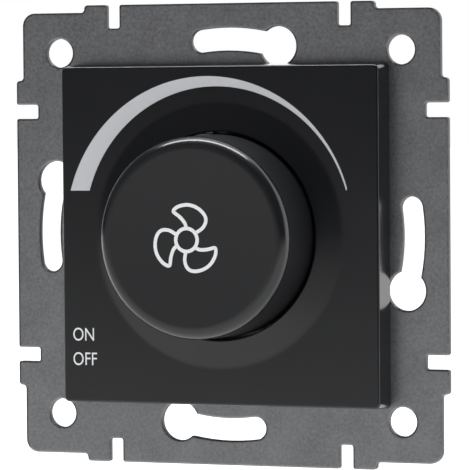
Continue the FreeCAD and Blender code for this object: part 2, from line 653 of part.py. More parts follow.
def cover_plate():
    cover = body("cover_plate")
    base = sketch(cover, "cover_base", "frame_thickness")
    rectangle(base, "cover_base_width", "cover_base_width")
    pad(cover, "cover_block", base, "cover_rise")
    half_base, half_front = "(cover_base_width / 2)", "(cover_width / 2)"
    wedge = [(half_base, "-frame_thickness"), (half_front, f"-{COVER_FRONT}")]
    wedge.append((half_base, f"-{COVER_FRONT}"))
    lean(cover, "cover_lean", "Pocket", wedge, wedge, "cover_base_width")

    def leaning(edge):
        box = edge.BoundBox
        return near(box.YLength, "cover_rise") and box.XLength < 1

    def front_edge(edge):
        return near(edge.BoundBox.YMin, COVER_FRONT) and edge.BoundBox.YLength < 1e-3

    rounding(cover, "cover_corners", "cover_corner_radius", leaning)
    rounding(cover, "cover_edge", "cover_edge_radius", front_edge)

    # The hollow behind the front
    hollow = sketch(cover, "cover_hollow", "frame_thickness")
    rectangle(hollow, "cover_width - 2 * cover_wall", "cover_width - 2 * cover_wall")
    pocket(cover, "cover_hollow_cut", hollow, "cover_rise - cover_skin", forwards=True)

    # The ring rises in a cone towards the knob, whose well goes right through
    rim = f"-{COVER_FRONT}"
    ring = sketch(cover, "ring_profile", plane="XY_Plane")
    corners = [("0", f"{rim} + cover_skin / 2"), ("ring_radius", f"{rim} + cover_skin / 2")]
    corners += [("ring_radius", rim), (WELL_RADIUS, f"{rim} - ring_rise"), ("0", f"{rim} - ring_rise")]
    outline(ring, corners)
    turned(cover, "Revolution", "ring", ring)
    well = sketch(cover, "well_profile", plane="XY_Plane")
    top, reach = f"{rim} - ring_rise", f"({WELL_RADIUS} + ring_lip)"
    slope = f"ring_rise / (ring_radius - {WELL_RADIUS})"
    corners = [("0", "0"), ("0", f"{top} - ring_lip"), (reach, f"{top} - ring_lip")]
    corners += [(reach, f"{top} + {slope} * ring_lip"), (WELL_RADIUS, f"{top} + ring_lip")]
    outline(well, corners + [(WELL_RADIUS, "0")], {3: ("right", "ring_lip")})
    turned(cover, "Groove", "well", well)

    # Four snap hooks behind the front
    for side, sign in (("left", "-"), ("right", "")):
        for level, offset in (("low", "-"), ("high", "")):
            hook = sketch(cover, f"hook_{side}_{level}", f"{offset}hook_place_z - hook_width / 2", "XY_Plane")
            inside = f"{sign}(hook_place_x - hook_thickness / 2)"
            outside = f"{sign}(hook_place_x + hook_thickness / 2)"
            barb = f"{sign}(hook_place_x + hook_thickness / 2 + hook_barb)"
            root = f"cover_skin / 2 - {COVER_FRONT}"
            corners = [(inside, root), (outside, root), (outside, "hook_gap"), (barb, "hook_gap")]
            corners += [(outside, "hook_length"), (inside, "hook_length")]
            outline(hook, corners)
            pad(cover, f"hook_{side}_{level}_pad", hook, "hook_width")
    node("cover_plate", cover)


# Knob, its clip and the spindle

def control_knob():
    knob = body("control_knob")
    inside = "(knob_front - knob_cap)"
    skirt = "(knob_face_radius - knob_wall)"
    bore = "(spindle_radius + running_clearance)"
    bore_end = "(spindle_front + tip_clearance)"
    hub_back = "(thread_front + hub_clearance)"
    shape = sketch(knob, "knob_profile", plane="XY_Plane")
    corners = [("0", "-knob_front"), ("knob_face_radius", "-knob_front"), ("knob_base_radius", "-knob_back")]
    corners += [(skirt, "-knob_back"), (skirt, f"-{inside}"), ("hub_radius", f"-{inside}")]
    corners += [("hub_radius", f"-{hub_back}"), (bore, f"-{hub_back}"), (bore, f"-{bore_end}")]
    corners += [("0", f"-{bore_end}")]
    outline(shape, corners)
    turned(knob, "Revolution", "knob_turned", shape)

    def face_edge(edge):
        return near(edge.BoundBox.YMin, "knob_front") and edge.BoundBox.XLength > 1

    rounding(knob, "knob_edge", "knob_edge_radius", face_edge)

    # The face is very slightly hollow
    face = "(knob_face_radius - knob_edge_radius - knob_hollow)"
    hollow = sketch(knob, "face_profile", plane="XY_Plane")
    corners = [("0", "-knob_front - knob_hollow"), ("0", "knob_hollow - knob_front"), (face, "-knob_front")]
    corners.append((face, "-knob_front - knob_hollow"))
    outline(hollow, corners, {1: ("right", f"({face}^2 + knob_hollow^2) / (2 * knob_hollow)")})
    turned(knob, "Groove", "face", hollow)

    # Ribs between the hub and the skirt
    rib = sketch(knob, "rib_outline", "rib_back")
    reach = f"({skirt} + knob_wall / 2 - hub_radius)"
    rectangle(rib, f"{reach} + knob_wall / 2", "rib_thickness", f"hub_radius + {reach} / 2 - knob_wall / 4")
    first = pad(knob, "rib", rib, f"{inside} - rib_back + knob_cap / 4")
    around(knob, "ribs", [first], "rib_count")

    # Key in the bore that the clip bears on
    key = sketch(knob, "key_outline", "flat_back + clip_inset")
    key_face = "(flat_height + clip_thickness)"
    key_depth = f"(({bore} + hub_radius) / 2 - {key_face})"
    rectangle(key, key_depth, "key_width", f"{key_face} + {key_depth} / 2")
    pad(knob, "key", key, f"{bore_end} - flat_back")
    node("control_knob", knob)

    length = "spindle_front - flat_back - 2 * clip_inset"
    corner = ("flat_height", "clip_inset - spindle_front", "-clip_width / 2")
    node("knob_clip", block("knob_clip", corner, ("clip_thickness", length, "clip_width")))


def spindle():
    shaft = body("spindle")
    tip = "(spindle_radius - spindle_chamfer)"
    collar = "(pot_plate_thickness + collar_gap)"
    collar_back = f"{collar} + collar_thickness"
    tail_end = f"{POT_BACK} + tail_depth"
    shape = sketch(shaft, "spindle_profile", plane="XY_Plane")
    corners = [("0", "-spindle_front"), (tip, "-spindle_front")]
    corners += [("spindle_radius", "spindle_chamfer - spindle_front"), ("spindle_radius", collar)]
    corners += [("collar_radius", collar), ("collar_radius", collar_back), ("tail_radius", collar_back)]
    corners += [("tail_radius", tail_end), ("0", tail_end)]
    outline(shape, corners)
    turned(shaft, "Revolution", "spindle_turned", shape)
    flat = sketch(shaft, "flat_outline", "spindle_front")
    rectangle(flat, "spindle_radius", "3 * spindle_radius", "flat_height + spindle_radius / 2")
    pocket(shaft, "flat_cut", flat, "spindle_front - flat_back")
    node("spindle", shaft)


# Potentiometer, its nut and the rotary switch behind it

def potentiometer():
    bore = "(spindle_radius + running_clearance)"
    neck = "(thread_radius - thread_chamfer)"
    bushing = body("pot_bushing")
    shape = sketch(bushing, "bushing_profile", plane="XY_Plane")
    corners = [(bore, "-thread_front"), (neck, "-thread_front")]
    corners += [("thread_radius", "thread_chamfer - thread_front"), ("thread_radius", "0")]
    corners += [("pot_plate_radius", "0"), ("pot_plate_radius", "pot_plate_thickness")]
    corners += [(bore, "pot_plate_thickness")]
    outline(shape, corners)
    turned(bushing, "Revolution", "bushing_turned", shape)
    node("pot_bushing", bushing)

    hole = "thread_radius + fit_clearance"
    back = "-frame_thickness - washer_thickness"
    washer = rod("washer_disc", "washer_radius", "washer_thickness", ("0", back, "0"))
    washer_hole = rod("washer_hole", hole, "washer_thickness", ("0", back, "0"))
    node("bushing_washer", cut("bushing_washer", washer, washer_hole))
    nut_front = f"{back} - nut_thickness"
    nut = hexagon("nut_bar", "nut_flats", "nut_thickness", ("0", nut_front, "0"))
    nut_hole = rod("nut_hole", hole, "nut_thickness", ("0", nut_front, "0"))
    node("bushing_nut", cut("bushing_nut", nut, nut_hole))

    start = "pot_plate_thickness"
    can = rod("pot_can_outside", "pot_radius", "pot_length", ("0", start, "0"))
    room = rod("pot_can_inside", "pot_radius - pot_wall", "pot_length - pot_wall", ("0", start, "0"))
    hole = rod("pot_can_hole", "tail_radius + wafer_clearance", "pot_length", ("0", start, "0"))
    gap_low = ("-wafer_tongue / 2 - wafer_clearance", start, "-2 * pot_radius")
    gap_size = ("wafer_tongue + 2 * wafer_clearance", "wafer_thickness + wafer_clearance", "2 * pot_radius")
    node("pot_case", cut("pot_case", can, room, hole, block("pot_can_gap", gap_low, gap_size)))

    disc = rod("wafer_disc", "wafer_radius", "wafer_thickness", ("0", start, "0"))
    tongue_size = ("wafer_tongue", "wafer_thickness", "wafer_reach")
    tongue = block("wafer_tongue_plate", ("-wafer_tongue / 2", start, "-wafer_reach"), tongue_size)
    hole = rod("wafer_hole", "collar_radius + wafer_clearance", "wafer_thickness", ("0", start, "0"))
    node("track_wafer", cut("track_wafer", fuse("wafer_plate", disc, tongue), hole))

    lugs = []
    wafer_back = "(pot_plate_thickness + wafer_thickness)"
    for i in (-1, 0, 1):
        left = f"{i} * lug_pitch - lug_width / 2"
        flat_size = ("lug_width", "lug_thickness", "lug_length")
        flat = block("lug_flat", (left, wafer_back, "-wafer_reach"), flat_size)
        leg_size = ("lug_width", f"board_front - {wafer_back}", "lug_thickness")
        leg = block("lug_leg", (left, wafer_back, "-wafer_reach"), leg_size)
        lugs.append(fuse("lug", flat, leg))
    node("pot_lugs", group("pot_lugs", lugs))

    disc = rod("rotor_disc", "rotor_radius", "rotor_thickness", ("0", "rotor_place", "0"))
    hub_start = ("0", "rotor_place - rotor_hub_rise", "0")
    hub_size = "rotor_thickness + 2 * rotor_hub_rise"
    hub = rod("rotor_hub", "rotor_hub_radius", hub_size, hub_start)
    hole = rod("rotor_hole", "tail_radius + fit_clearance", hub_size, hub_start)
    node("wiper_rotor", cut("wiper_rotor", fuse("rotor_body", disc, hub), hole))

    low = "(rotor_hub_radius + wafer_clearance)"
    plate = ("-wiper_width / 2", "rotor_place - wiper_thickness", low)
    pieces = [block("wiper_plate", plate, ("wiper_width", "wiper_thickness", "wiper_reach"))]
    tip = f"({wafer_back} + wiper_gap)"
    for left in ("-wiper_width / 2", "wiper_width / 2 - wiper_finger"):
        corner = (left, tip, f"{low} + wiper_reach - wiper_thickness")
        finger = ("wiper_finger", f"rotor_place - {tip}", "wiper_thickness")
        pieces.append(block("wiper_finger_bar", corner, finger))
    node("wiper_spring", fuse("wiper_spring", *pieces))

    can_start = ("0", POT_BACK, "0")
    can = rod("switch_body", "pot_radius", "can_length", can_start)
    socket_depth = "tail_depth + tip_clearance"
    socket = rod("switch_socket", "tail_radius + running_clearance", socket_depth, can_start)
    node("rotary_switch", cut("rotary_switch", can, socket))
    tabs = []
    can_back = f"({POT_BACK} + can_length)"
    far = "(pot_radius + can_tab_gap)"
    for sign in ("-", ""):
        left = f"{sign}can_tab_place - lug_width / 2"
        arm_size = ("lug_width", "lug_thickness", f"{far} + lug_thickness - can_tab_place")
        arm = block("tab_arm", (left, can_back, "can_tab_place"), arm_size)
        leg_size = ("lug_width", f"{can_back} + lug_thickness - {BOARD_BACK}", "lug_thickness")
        leg = block("tab_leg", (left, BOARD_BACK, far), leg_size)
        tabs.append(fuse("tab", arm, leg))
    node("switch_tabs", group("switch_tabs", tabs))


# Rear housing

def cavity_section(drawing):
    """The cavity's outline: a rectangle that leaves a post standing in each corner."""
    post_x = f"({POST_X} - post_width / 2)"
    post_z = f"({POST_Z} - post_width / 2)"
    corners = []
    quarter = [(CAVITY_X, "-", post_z), (CAVITY_X, "", post_z), (post_x, "", post_z), (post_x, "", CAVITY_Z)]
    quarter_back = [("-" + x, sign, z) for x, sign, z in reversed(quarter)]
    for x, sign, z in quarter[1:] + quarter_back[:-1]:
        corners.append((x, sign + z))
    for x, sign, z in reversed(quarter[1:] + quarter_back[:-1]):
        corners.append((x, "-" + z))
    outline(drawing, corners)


def rear_housing():
    shell = body("rear_housing")
    straight = sketch(shell, "housing_outline")
    rectangle(straight, "housing_width", "housing_height")
    pad(shell, "housing_block", straight, "housing_depth", backwards=True)
    mouth = sketch(shell, "mouth_outline")
    rectangle(mouth, "housing_width + 2 * housing_lip", "housing_height + 2 * housing_lip")
    pad(shell, "mouth_lip", mouth, "housing_lip_depth", backwards=True)
    open_end = sketch(shell, "cavity_outline")
    cavity_section(open_end)
    pocket(shell, "cavity_cut", open_end, "housing_depth - housing_wall")

    # Behind the straight part the walls lean in, first inside and then outside
    share = "((housing_depth - housing_wall - housing_straight) / (housing_depth - housing_straight))"
    inside, outside = [], []
    for half, shift in (("housing_width / 2", "housing_taper_x"), ("housing_height / 2", "housing_taper_z")):
        wall = f"({half} - housing_wall)"
        end = "(housing_depth - housing_wall)"
        inside.append([(wall, "housing_straight"), (f"{wall} - {shift} * {share}", end), (half, end)])
        inside[-1].append((half, "housing_straight"))
        outside.append([(half, "housing_straight"), (f"{half} - {shift}", "housing_depth")])
        outside[-1].append((half, "housing_depth"))
    lean(shell, "cavity_lean", "Pad", *inside, "housing_width - housing_wall")
    lean(shell, "housing_lean", "Pocket", *outside, "housing_height")

    def long_edge(edge):
        middle = edge.CenterOfMass
        beside = abs(middle.x) > number("housing_width / 2 - housing_taper_x")
        above = abs(middle.z) > number("housing_height / 2 - housing_taper_z")
        return beside and above and edge.BoundBox.YLength > 0.5

    def rear_edge(edge):
        return near(edge.BoundBox.YMax, "housing_depth") and edge.BoundBox.YLength < 1e-3

    rounding(shell, "long_edges", "housing_corner_radius", long_edge)
    chamfer(shell, "rear_edges", "housing_chamfer", rear_edge)

    # Two of the four corner posts are cut down to carry the board
    for side, sign_x, sign_z in (("left", "-", ""), ("right", "", "-")):
        seat = sketch(shell, f"board_seat_{side}")
        corner = "(post_width + board_clearance)"
        at_x = f"{sign_x}({CAVITY_X} - {corner} / 2)"
        at_z = f"{sign_z}({CAVITY_Z} - {corner} / 2)"
        rectangle(seat, corner, corner, at_x, at_z)
        pocket(shell, f"board_seat_{side}_cut", seat, BOARD_BACK)

    # Screw holes in the posts
    holes = sketch(shell, "post_holes")
    for sign in ("-", ""):
        circle(holes, "screw_radius + thread_fit", (f"{sign}{POST_X}", f"{sign}{POST_Z}"))
    pocket(shell, "post_holes_cut", holes, "screw_length")
    holes = sketch(shell, "board_post_holes")
    for sign, other in (("-", ""), ("", "-")):
        circle(holes, "board_screw_radius + thread_fit", (f"{sign}{POST_X}", f"{other}{POST_Z}"))
    pocket(shell, "board_post_holes_cut", holes, "board_front + board_screw_length")

    # Walls between the terminals
    for i, x in enumerate(terminal_places()[1:]):
        wall = sketch(shell, f"partition_{i}", "-cage_front")
        middle = f"({CAVITY_Z} + partition_root - partition_height / 2)"
        at = (f"{x} - {TERMINAL_PITCH} / 2", f"-{middle}")
        rectangle(wall, "partition_thickness", "partition_height", *at)
        length = "housing_depth - housing_wall / 2 - cage_front"
        pad(shell, f"partition_{i}_pad", wall, length, backwards=True)

    # Rear wall: access to the terminal screws, and cooling slots
    access = sketch(shell, "access_holes", "-housing_depth")
    for x in terminal_places():
        circle(access, f"{HEAD_RADIUS} - access_overlap", (x, CAGE_MIDDLE))
    pocket(shell, "access_cut", access, "housing_wall", forwards=True)
    vents = sketch(shell, "vent_slots", "-housing_depth")
    for i in range(int(number("vent_count"))):
        at_x = f"({i} - (vent_count - 1) / 2) * vent_pitch"
        rectangle(vents, "vent_width", "vent_height", at_x, "vent_place")
    pocket(shell, "vent_cut", vents, "housing_wall", forwards=True)

    # Bottom wall: one wire entry for each terminal
    entries = sketch(shell, "wire_entries", plane="XY_Plane", front="-housing_height / 2")
    at_y = "cage_front + cage_window_front + wire_radius + clamp_clearance / 2"
    for x in terminal_places():
        circle(entries, "wire_radius", (x, at_y))
    pocket(shell, "wire_entry_cut", entries, "housing_wall", forwards=True)

    def entry_mouth(edge):
        round_edge = edge.Curve.TypeId == "Part::GeomCircle" and near(edge.Curve.Radius, "wire_radius")
        return round_edge and near(edge.CenterOfMass.z, "housing_height / 2")

    chamfer(shell, "wire_funnels", "wire_funnel", entry_mouth)
    node("rear_housing", shell)


# Screws

def screw(name, radius, length, head_radius, head_height, under_head, x, z, towards_rear=True):
    """A slotted screw along Y. Its head is at the front, or at the rear."""
    if towards_rear:
        head_start, shank_start = f"{under_head} - ({head_height})", under_head
        slot_start = head_start
    else:
        head_start, shank_start = under_head, f"{under_head} - ({length})"
        slot_start = f"{under_head} + ({head_height}) - screw_slot_depth"
    shank = rod(name + "_shank", radius, length, (x, shank_start, z))
    head = rod(name + "_head", head_radius, head_height, (x, head_start, z))
    corner = (f"{x} - ({head_radius})", slot_start, f"{z} - screw_slot_width / 2")
    slot = block(name + "_slot", corner, (f"2 * ({head_radius})", "screw_slot_depth", "screw_slot_width"))
    return cut(name, fuse(name + "_body", shank, head), slot)


def housing_and_board_screws():
    sizes = ("screw_radius", "screw_length + frame_thickness", "screw_head_radius", "screw_head_height")
    pair = []
    for sign in ("", "-"):
        at = (f"{sign}{POST_X}", f"{sign}{POST_Z}")
        pair.append(screw("housing_screw", *sizes, "-frame_thickness", *at))
    node("housing_screws", group("housing_screws", pair))
    sizes = ("board_screw_radius", "board_screw_length", "board_screw_head_radius", "board_screw_head_height")
    pair = []
    for sign, other in (("-", ""), ("", "-")):
        at = (f"{sign}{POST_X}", f"{other}{POST_Z}")
        pair.append(screw("board_screw", *sizes, "board_front", *at))
    node("board_screws", group("board_screws", pair))


# Circuit board and the sheet that keeps it from the frame

def flat_sheet(name, front, thickness, hole_radius):
    """A plate that fills the cavity round the potentiometer and clears the two full posts."""
    half_x = f"({CAVITY_X} - board_clearance)"
    half_z = f"({CAVITY_Z} - board_clearance)"
    plate = body(name)
    shape = sketch(plate, name + "_outline", front)
    cut_x = f"({POST_X} - post_width / 2 - board_clearance)"
    cut_z = f"({POST_Z} - post_width / 2 - board_clearance)"
    corners = [(f"-{half_x}", half_z), (f"-{half_x}", f"-{cut_z}"), (f"-{cut_x}", f"-{cut_z}")]
    corners += [(f"-{cut_x}", f"-{half_z}"), (half_x, f"-{half_z}"), (half_x, cut_z)]
    corners += [(cut_x, cut_z), (cut_x, half_z)]
    outline(shape, corners)
    pad(plate, name + "_pad", shape, thickness, backwards=True)
    hole = sketch(plate, name + "_hole", front)
    circle(hole, hole_radius)
    pocket(plate, name + "_hole_cut", hole, thickness)
    return plate


def circuit_board():
    hole = "pot_radius + board_hole_gap"
    board = flat_sheet("circuit_board", "-board_front", "board_thickness", hole)
    screws = sketch(board, "board_screw_holes", "-board_front")
    for sign, other in (("-", ""), ("", "-")):
        at = (f"{sign}{POST_X}", f"{other}{POST_Z}")
        circle(screws, "board_screw_radius + screw_clearance", at)
    pocket(board, "board_screw_holes_cut", screws, "board_thickness")
    node("circuit_board", board)

    liner = flat_sheet("insulating_sheet", "0", "sheet_thickness", hole)
    window = sketch(liner, "triac_window")
    margin = "2 * (pad_margin + window_clearance)"
    middle = f"{TRIAC_LEFT} + triac_tab_length / 2"
    rectangle(window, f"triac_tab_length + {margin}", f"triac_width + {margin}", middle, "triac_place_z")
    pocket(liner, "triac_window_cut", window, "sheet_thickness")
    node("insulating_sheet", liner)


# Triac on the back of the frame

def triac():
    low_z = "(triac_place_z - triac_width / 2)"
    tab_back = "(pad_thickness + triac_tab_thickness)"
    corner = (f"{TRIAC_LEFT} - pad_margin", "0", f"{low_z} - pad_margin")
    size = ("triac_tab_length + 2 * pad_margin", "pad_thickness", "triac_width + 2 * pad_margin")
    hole_start = (TRIAC_HOLE, "0", "triac_place_z")
    hole = rod("pad_hole", "triac_screw_radius + screw_clearance", "pad_thickness", hole_start)
    node("triac_pad", cut("triac_pad", block("pad_sheet", corner, size), hole))

    size = ("triac_tab_length", "triac_tab_thickness", "triac_width")
    hole_start = (TRIAC_HOLE, "pad_thickness", "triac_place_z")
    hole = rod("tab_hole", "triac_hole_radius", "triac_tab_thickness", hole_start)
    tab = block("tab_sheet", (TRIAC_LEFT, "pad_thickness", low_z), size)
    node("triac_tab", cut("triac_tab", tab, hole))

    size = ("triac_case_length", "triac_case_height", "triac_width")
    node("triac_case", block("triac_case", (f"{TRIAC_RIGHT} - triac_case_length", tab_back, low_z), size))

    legs = []
    leg_front = f"({tab_back} + triac_case_height / 2)"
    for i in (-1, 0, 1):
        low = f"triac_place_z + {i} * triac_leg_pitch - triac_leg_width / 2"
        size = ("triac_leg_length", "triac_leg_thickness", "triac_leg_width")
        arm = block("leg_arm", (TRIAC_RIGHT, leg_front, low), size)
        bend = f"{TRIAC_RIGHT} + triac_leg_length - triac_leg_thickness"
        size = ("triac_leg_thickness", f"board_front - {leg_front}", "triac_leg_width")
        legs.append(fuse("leg", arm, block("leg_end", (bend, leg_front, low), size)))
    node("triac_legs", group("triac_legs", legs))

    reach = f"frame_thickness + {tab_back} + triac_nut_thickness + screw_end"
    sizes = ("triac_screw_radius", reach, "triac_screw_head_radius", "triac_screw_head_height")
    node("triac_screw", screw("triac_screw", *sizes, "-frame_thickness", TRIAC_HOLE, "triac_place_z"))
    start = (TRIAC_HOLE, tab_back, "triac_place_z")
    hole = rod("triac_nut_hole", "triac_screw_radius + fit_clearance", "triac_nut_thickness", start)
    bar = hexagon("triac_nut_bar", "triac_nut_flats", "triac_nut_thickness", start)
    node("triac_nut", cut("triac_nut", bar, hole))


# Parts that stand on the board

def standing_edges(edge):
    """Every edge of a capacitor but those on the board."""
    return edge.BoundBox.YMax > number(BOARD_BACK) + 1e-3


def axial_part(name, left, length, radius, z):
    """A round body along X, with a lead at each end that goes down to the board."""
    axis = f"({BOARD_BACK} + {radius} + lead_lift)"
    low, high = f"({left} - lead_reach)", f"({left} + {length} + lead_reach)"
    wire = f"{length} + 2 * lead_reach"
    pieces = [rod(name + "_body", radius, length, (left, axis, z), "x")]
    pieces.append(rod(name + "_lead", "lead_radius - lead_step", wire, (low, axis, z), "x"))
    rise = f"{axis} + lead_radius - {BOARD_BACK}"
    for end in (low, high):
        pieces.append(rod(name + "_leg", "lead_radius", rise, (end, BOARD_BACK, z)))
    return fuse(name, *pieces)


def board_parts():
    corner = (f"-{PARTS_RIGHT}", BOARD_BACK, "capacitor_place")
    length = f"{PARTS_RIGHT} + film_left - capacitor_gap"
    brick = block("capacitor_brick", corner, (length, "capacitor_height", "capacitor_width"))
    node("suppression_capacitor", rounded("suppression_capacitor", brick, "capacitor_radius", standing_edges))
    corner = ("film_left", BOARD_BACK, "film_place")
    size = (f"{PARTS_RIGHT} - film_left", "film_height", "film_width")
    brick = block("film_brick", corner, size)
    node("timing_capacitor", rounded("timing_capacitor", brick, "capacitor_radius", standing_edges))

    pair = []
    length = f"({PARTS_RIGHT} - resistor_left - lead_reach - lead_radius)"
    for i in (0, 1):
        level = f"(resistor_place + {i} * resistor_pitch)"
        pair.append(axial_part("resistor", "resistor_left", length, "resistor_radius", level))
    node("resistors", group("resistors", pair))
    node("diac", axial_part("diac", "diac_left", "diac_length", "diac_radius", "diac_place"))

    middle = f"({BOARD_BACK} + {WINDING_RADIUS} + lead_lift)"
    start = (SIDE_MIDDLE, middle, "-choke_core_length / 2")
    node("choke_core", rod("choke_core", CORE_RADIUS, "choke_core_length", start, "z"))
    start = (SIDE_MIDDLE, middle, "-winding_length / 2")
    outside = rod("winding_outside", WINDING_RADIUS, "winding_length", start, "z")
    inside = rod("winding_inside", f"{CORE_RADIUS} + fit_clearance", "winding_length", start, "z")
    node("choke_winding", cut("choke_winding", outside, inside))
    fuse_and_clips()


def fuse_and_clips():
    middle = f"({BOARD_BACK} + fuse_lift)"
    glass_radius = "(fuse_cap_radius - fuse_cap_wall - fit_clearance)"
    glass_end = "(fuse_length / 2 - fuse_cap_wall)"
    start = (f"-{SIDE_MIDDLE}", middle, f"-{glass_end}")
    outside = rod("glass_outside", glass_radius, f"2 * {glass_end}", start, "z")
    inside = rod("glass_inside", f"{glass_radius} - fuse_glass_wall", f"2 * {glass_end}", start, "z")
    node("fuse_tube", cut("fuse_tube", outside, inside))
    caps = []
    clips = []
    bore = "fuse_cap_radius - fuse_cap_wall"
    depth = "fuse_cap_length - fuse_cap_wall"
    left_end, right_end = "-fuse_length / 2", "fuse_length / 2 - fuse_cap_length"
    for low_end, low_bore in ((left_end, f"{left_end} + fuse_cap_wall"), (right_end, right_end)):
        start = (f"-{SIDE_MIDDLE}", middle, low_end)
        cap = rod("cap_outside", "fuse_cap_radius", "fuse_cap_length", start, "z")
        hole = rod("cap_inside", bore, depth, (f"-{SIDE_MIDDLE}", middle, low_bore), "z")
        caps.append(cut("fuse_cap", cap, hole))
    node("fuse_caps", group("fuse_caps", caps))
    for sign in ("-", ""):
        low = f"{sign}clip_place - clip_length / 2"
        half = "(fuse_cap_radius + fit_clearance + clip_sheet)"
        left = f"-{SIDE_MIDDLE} - {half}"
        size = (f"2 * {half}", "clip_height", "clip_length")
        outside = block("clip_outside", (left, BOARD_BACK, low), size)
        room_low = (f"{left} + clip_sheet", f"{BOARD_BACK} + clip_sheet", low)
        room = block("clip_inside", room_low, (f"2 * ({half} - clip_sheet)", "clip_height", "clip_length"))
        clips.append(cut("fuse_clip", outside, room))
    node("fuse_clips", group("fuse_clips", clips))


# Screw terminals

def terminals():
    cages, screws, plates, tails = [], [], [], []
    window_front = "(cage_front + cage_window_front)"
    cage_back = "(cage_front + cage_depth)"
    for x in terminal_places():
        left = f"{x} - {CAGE_WIDTH} / 2"
        size = (CAGE_WIDTH, "cage_depth", "cage_height")
        cage = block("cage_block", (left, "cage_front", f"-{CAGE_LOW}"), size)
        size = (f"{CAGE_WIDTH} - 2 * cage_wall", "cage_window_depth", "cage_height")
        window = block("cage_window", (f"{left} + cage_wall", window_front, f"-{CAGE_LOW}"), size)
        start = (x, f"{window_front} + cage_window_depth / 2", CAGE_MIDDLE)
        hole = rod("cage_hole", "terminal_screw_radius + thread_fit", f"{cage_back} - {start[1]}", start)
        cages.append(cut("terminal_cage", cage, window, hole))

        length = "terminal_head_front - terminal_screw_tip"
        sizes = ("terminal_screw_radius", length, HEAD_RADIUS, "terminal_head_height")
        at = ("terminal_head_front", x, CAGE_MIDDLE)
        screws.append(screw("terminal_screw", *sizes, *at, towards_rear=False))

        plate_low = (f"{left} + cage_wall + clamp_clearance", "terminal_screw_tip - clamp_thickness")
        plate_low += (f"clamp_clearance - {CAGE_LOW}",)
        size = (f"{CAGE_WIDTH} - 2 * (cage_wall + clamp_clearance)", "clamp_thickness")
        size += ("cage_height - 2 * clamp_clearance",)
        plates.append(block("clamp_plate", plate_low, size))

        corner = (f"{x} - tail_width / 2", BOARD_BACK, f"{CAGE_MIDDLE} - tail_thickness / 2")
        size = ("tail_width", f"cage_front - {BOARD_BACK}", "tail_thickness")
        tails.append(block("terminal_tail", corner, size))
    node("terminal_cages", group("terminal_cages", cages))
    node("terminal_screws", group("terminal_screws", screws))
    node("clamp_plates", group("clamp_plates", plates))
    node("terminal_tails", group("terminal_tails", tails))


support_frame()
cover_plate()
control_knob()
spindle()
potentiometer()
rear_housing()
housing_and_board_screws()
circuit_board()
triac()
board_parts()
terminals()

# Check the whole document before anything is written
doc.recompute()
for thing in doc.Objects:
    if "Invalid" in thing.State or "Error" in thing.State:
        raise RuntimeError(f"{thing.Label} failed: {thing.State}")
for piece in nodes:
    if piece.Shape.isNull() or not piece.Shape.isValid() or piece.Shape.Volume <= 0:
        raise RuntimeError(f"{piece.Label} has no valid shape")

os.makedirs("parts", exist_ok=True)
for piece in nodes:
    piece.Shape.exportStep(os.path.join("parts", piece.Label + ".step"))
    print(f"{piece.Label}: {len(piece.Shape.Solids)} solid(s), {piece.Shape.Volume:.1f} mm3")
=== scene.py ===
import math

import bpy
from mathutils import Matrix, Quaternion, Vector


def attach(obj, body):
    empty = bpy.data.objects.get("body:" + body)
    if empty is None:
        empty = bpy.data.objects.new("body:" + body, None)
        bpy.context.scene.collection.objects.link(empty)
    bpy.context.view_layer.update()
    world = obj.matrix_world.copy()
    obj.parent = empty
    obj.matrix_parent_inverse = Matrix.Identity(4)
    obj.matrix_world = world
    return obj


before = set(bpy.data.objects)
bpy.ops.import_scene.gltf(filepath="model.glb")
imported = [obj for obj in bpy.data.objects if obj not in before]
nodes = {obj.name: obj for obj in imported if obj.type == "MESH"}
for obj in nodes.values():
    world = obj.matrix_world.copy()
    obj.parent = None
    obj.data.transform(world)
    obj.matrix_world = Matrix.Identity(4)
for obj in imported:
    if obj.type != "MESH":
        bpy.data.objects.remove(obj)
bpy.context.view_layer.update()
scene = bpy.context.scene
mm = 0.001
white = (1, 1, 1, 1)
print("frame loaded:", len(nodes), "nodes")


# Helpers

def linearColour(code):
    # sRGB hex to the linear values that the shader wants
    parts = [int(code[i:i + 2], 16) / 255 for i in (1, 3, 5)]
    return [c / 12.92 if c <= 0.04045 else ((c + 0.055) / 1.055) ** 2.4 for c in parts] + [1.0]


def shaded(colour, factor):
    # a linear colour made darker or lighter
    return [min(1, c * factor) for c in colour[:3]] + [1]


def addNode(tree, kind, values=None, links=None, **settings):
    # one node with its settings, its fixed inputs and what feeds it
    made = tree.nodes.new(kind)
    for name, value in settings.items():
        setattr(made, name, value)
    for socket, value in (values or {}).items():
        made.inputs[socket].default_value = value
    for socket, source in (links or {}).items():
        tree.links.new(source, made.inputs[socket])
    return made


def newMaterial(name):
    # an empty material with its output, and the object's own coordinates in metres
    material = bpy.data.materials.new(name)
    material.use_nodes = True
    tree = material.node_tree
    tree.nodes.clear()
    output = addNode(tree, "ShaderNodeOutputMaterial")
    place = addNode(tree, "ShaderNodeTexCoord").outputs["Object"]
    return material, tree, output, place


def waves(size):
    # texture scale for a pattern that repeats every so many millimetres
    return 1 / (size * mm)


def rayKinds(tree):
    # what the camera sees itself, and what it sees by way of gloss or glass
    path = addNode(tree, "ShaderNodeLightPath").outputs
    mirrored = addNode(tree, "ShaderNodeMath",
                       links={0: path["Is Glossy Ray"], 1: path["Is Transmission Ray"]},
                       operation="MAXIMUM")
    return path["Is Camera Ray"], mirrored.outputs[0]


def facingFront(tree):
    # 1 on a face that looks straight forwards or backwards, 0 on the walls between
    normal = addNode(tree, "ShaderNodeTexCoord").outputs["Normal"]
    parts = addNode(tree, "ShaderNodeSeparateXYZ", links={"Vector": normal})
    return addNode(tree, "ShaderNodeMath", links={0: parts.outputs["Y"]}, operation="ABSOLUTE").outputs[0]


# Camera, at the photograph's viewing angle

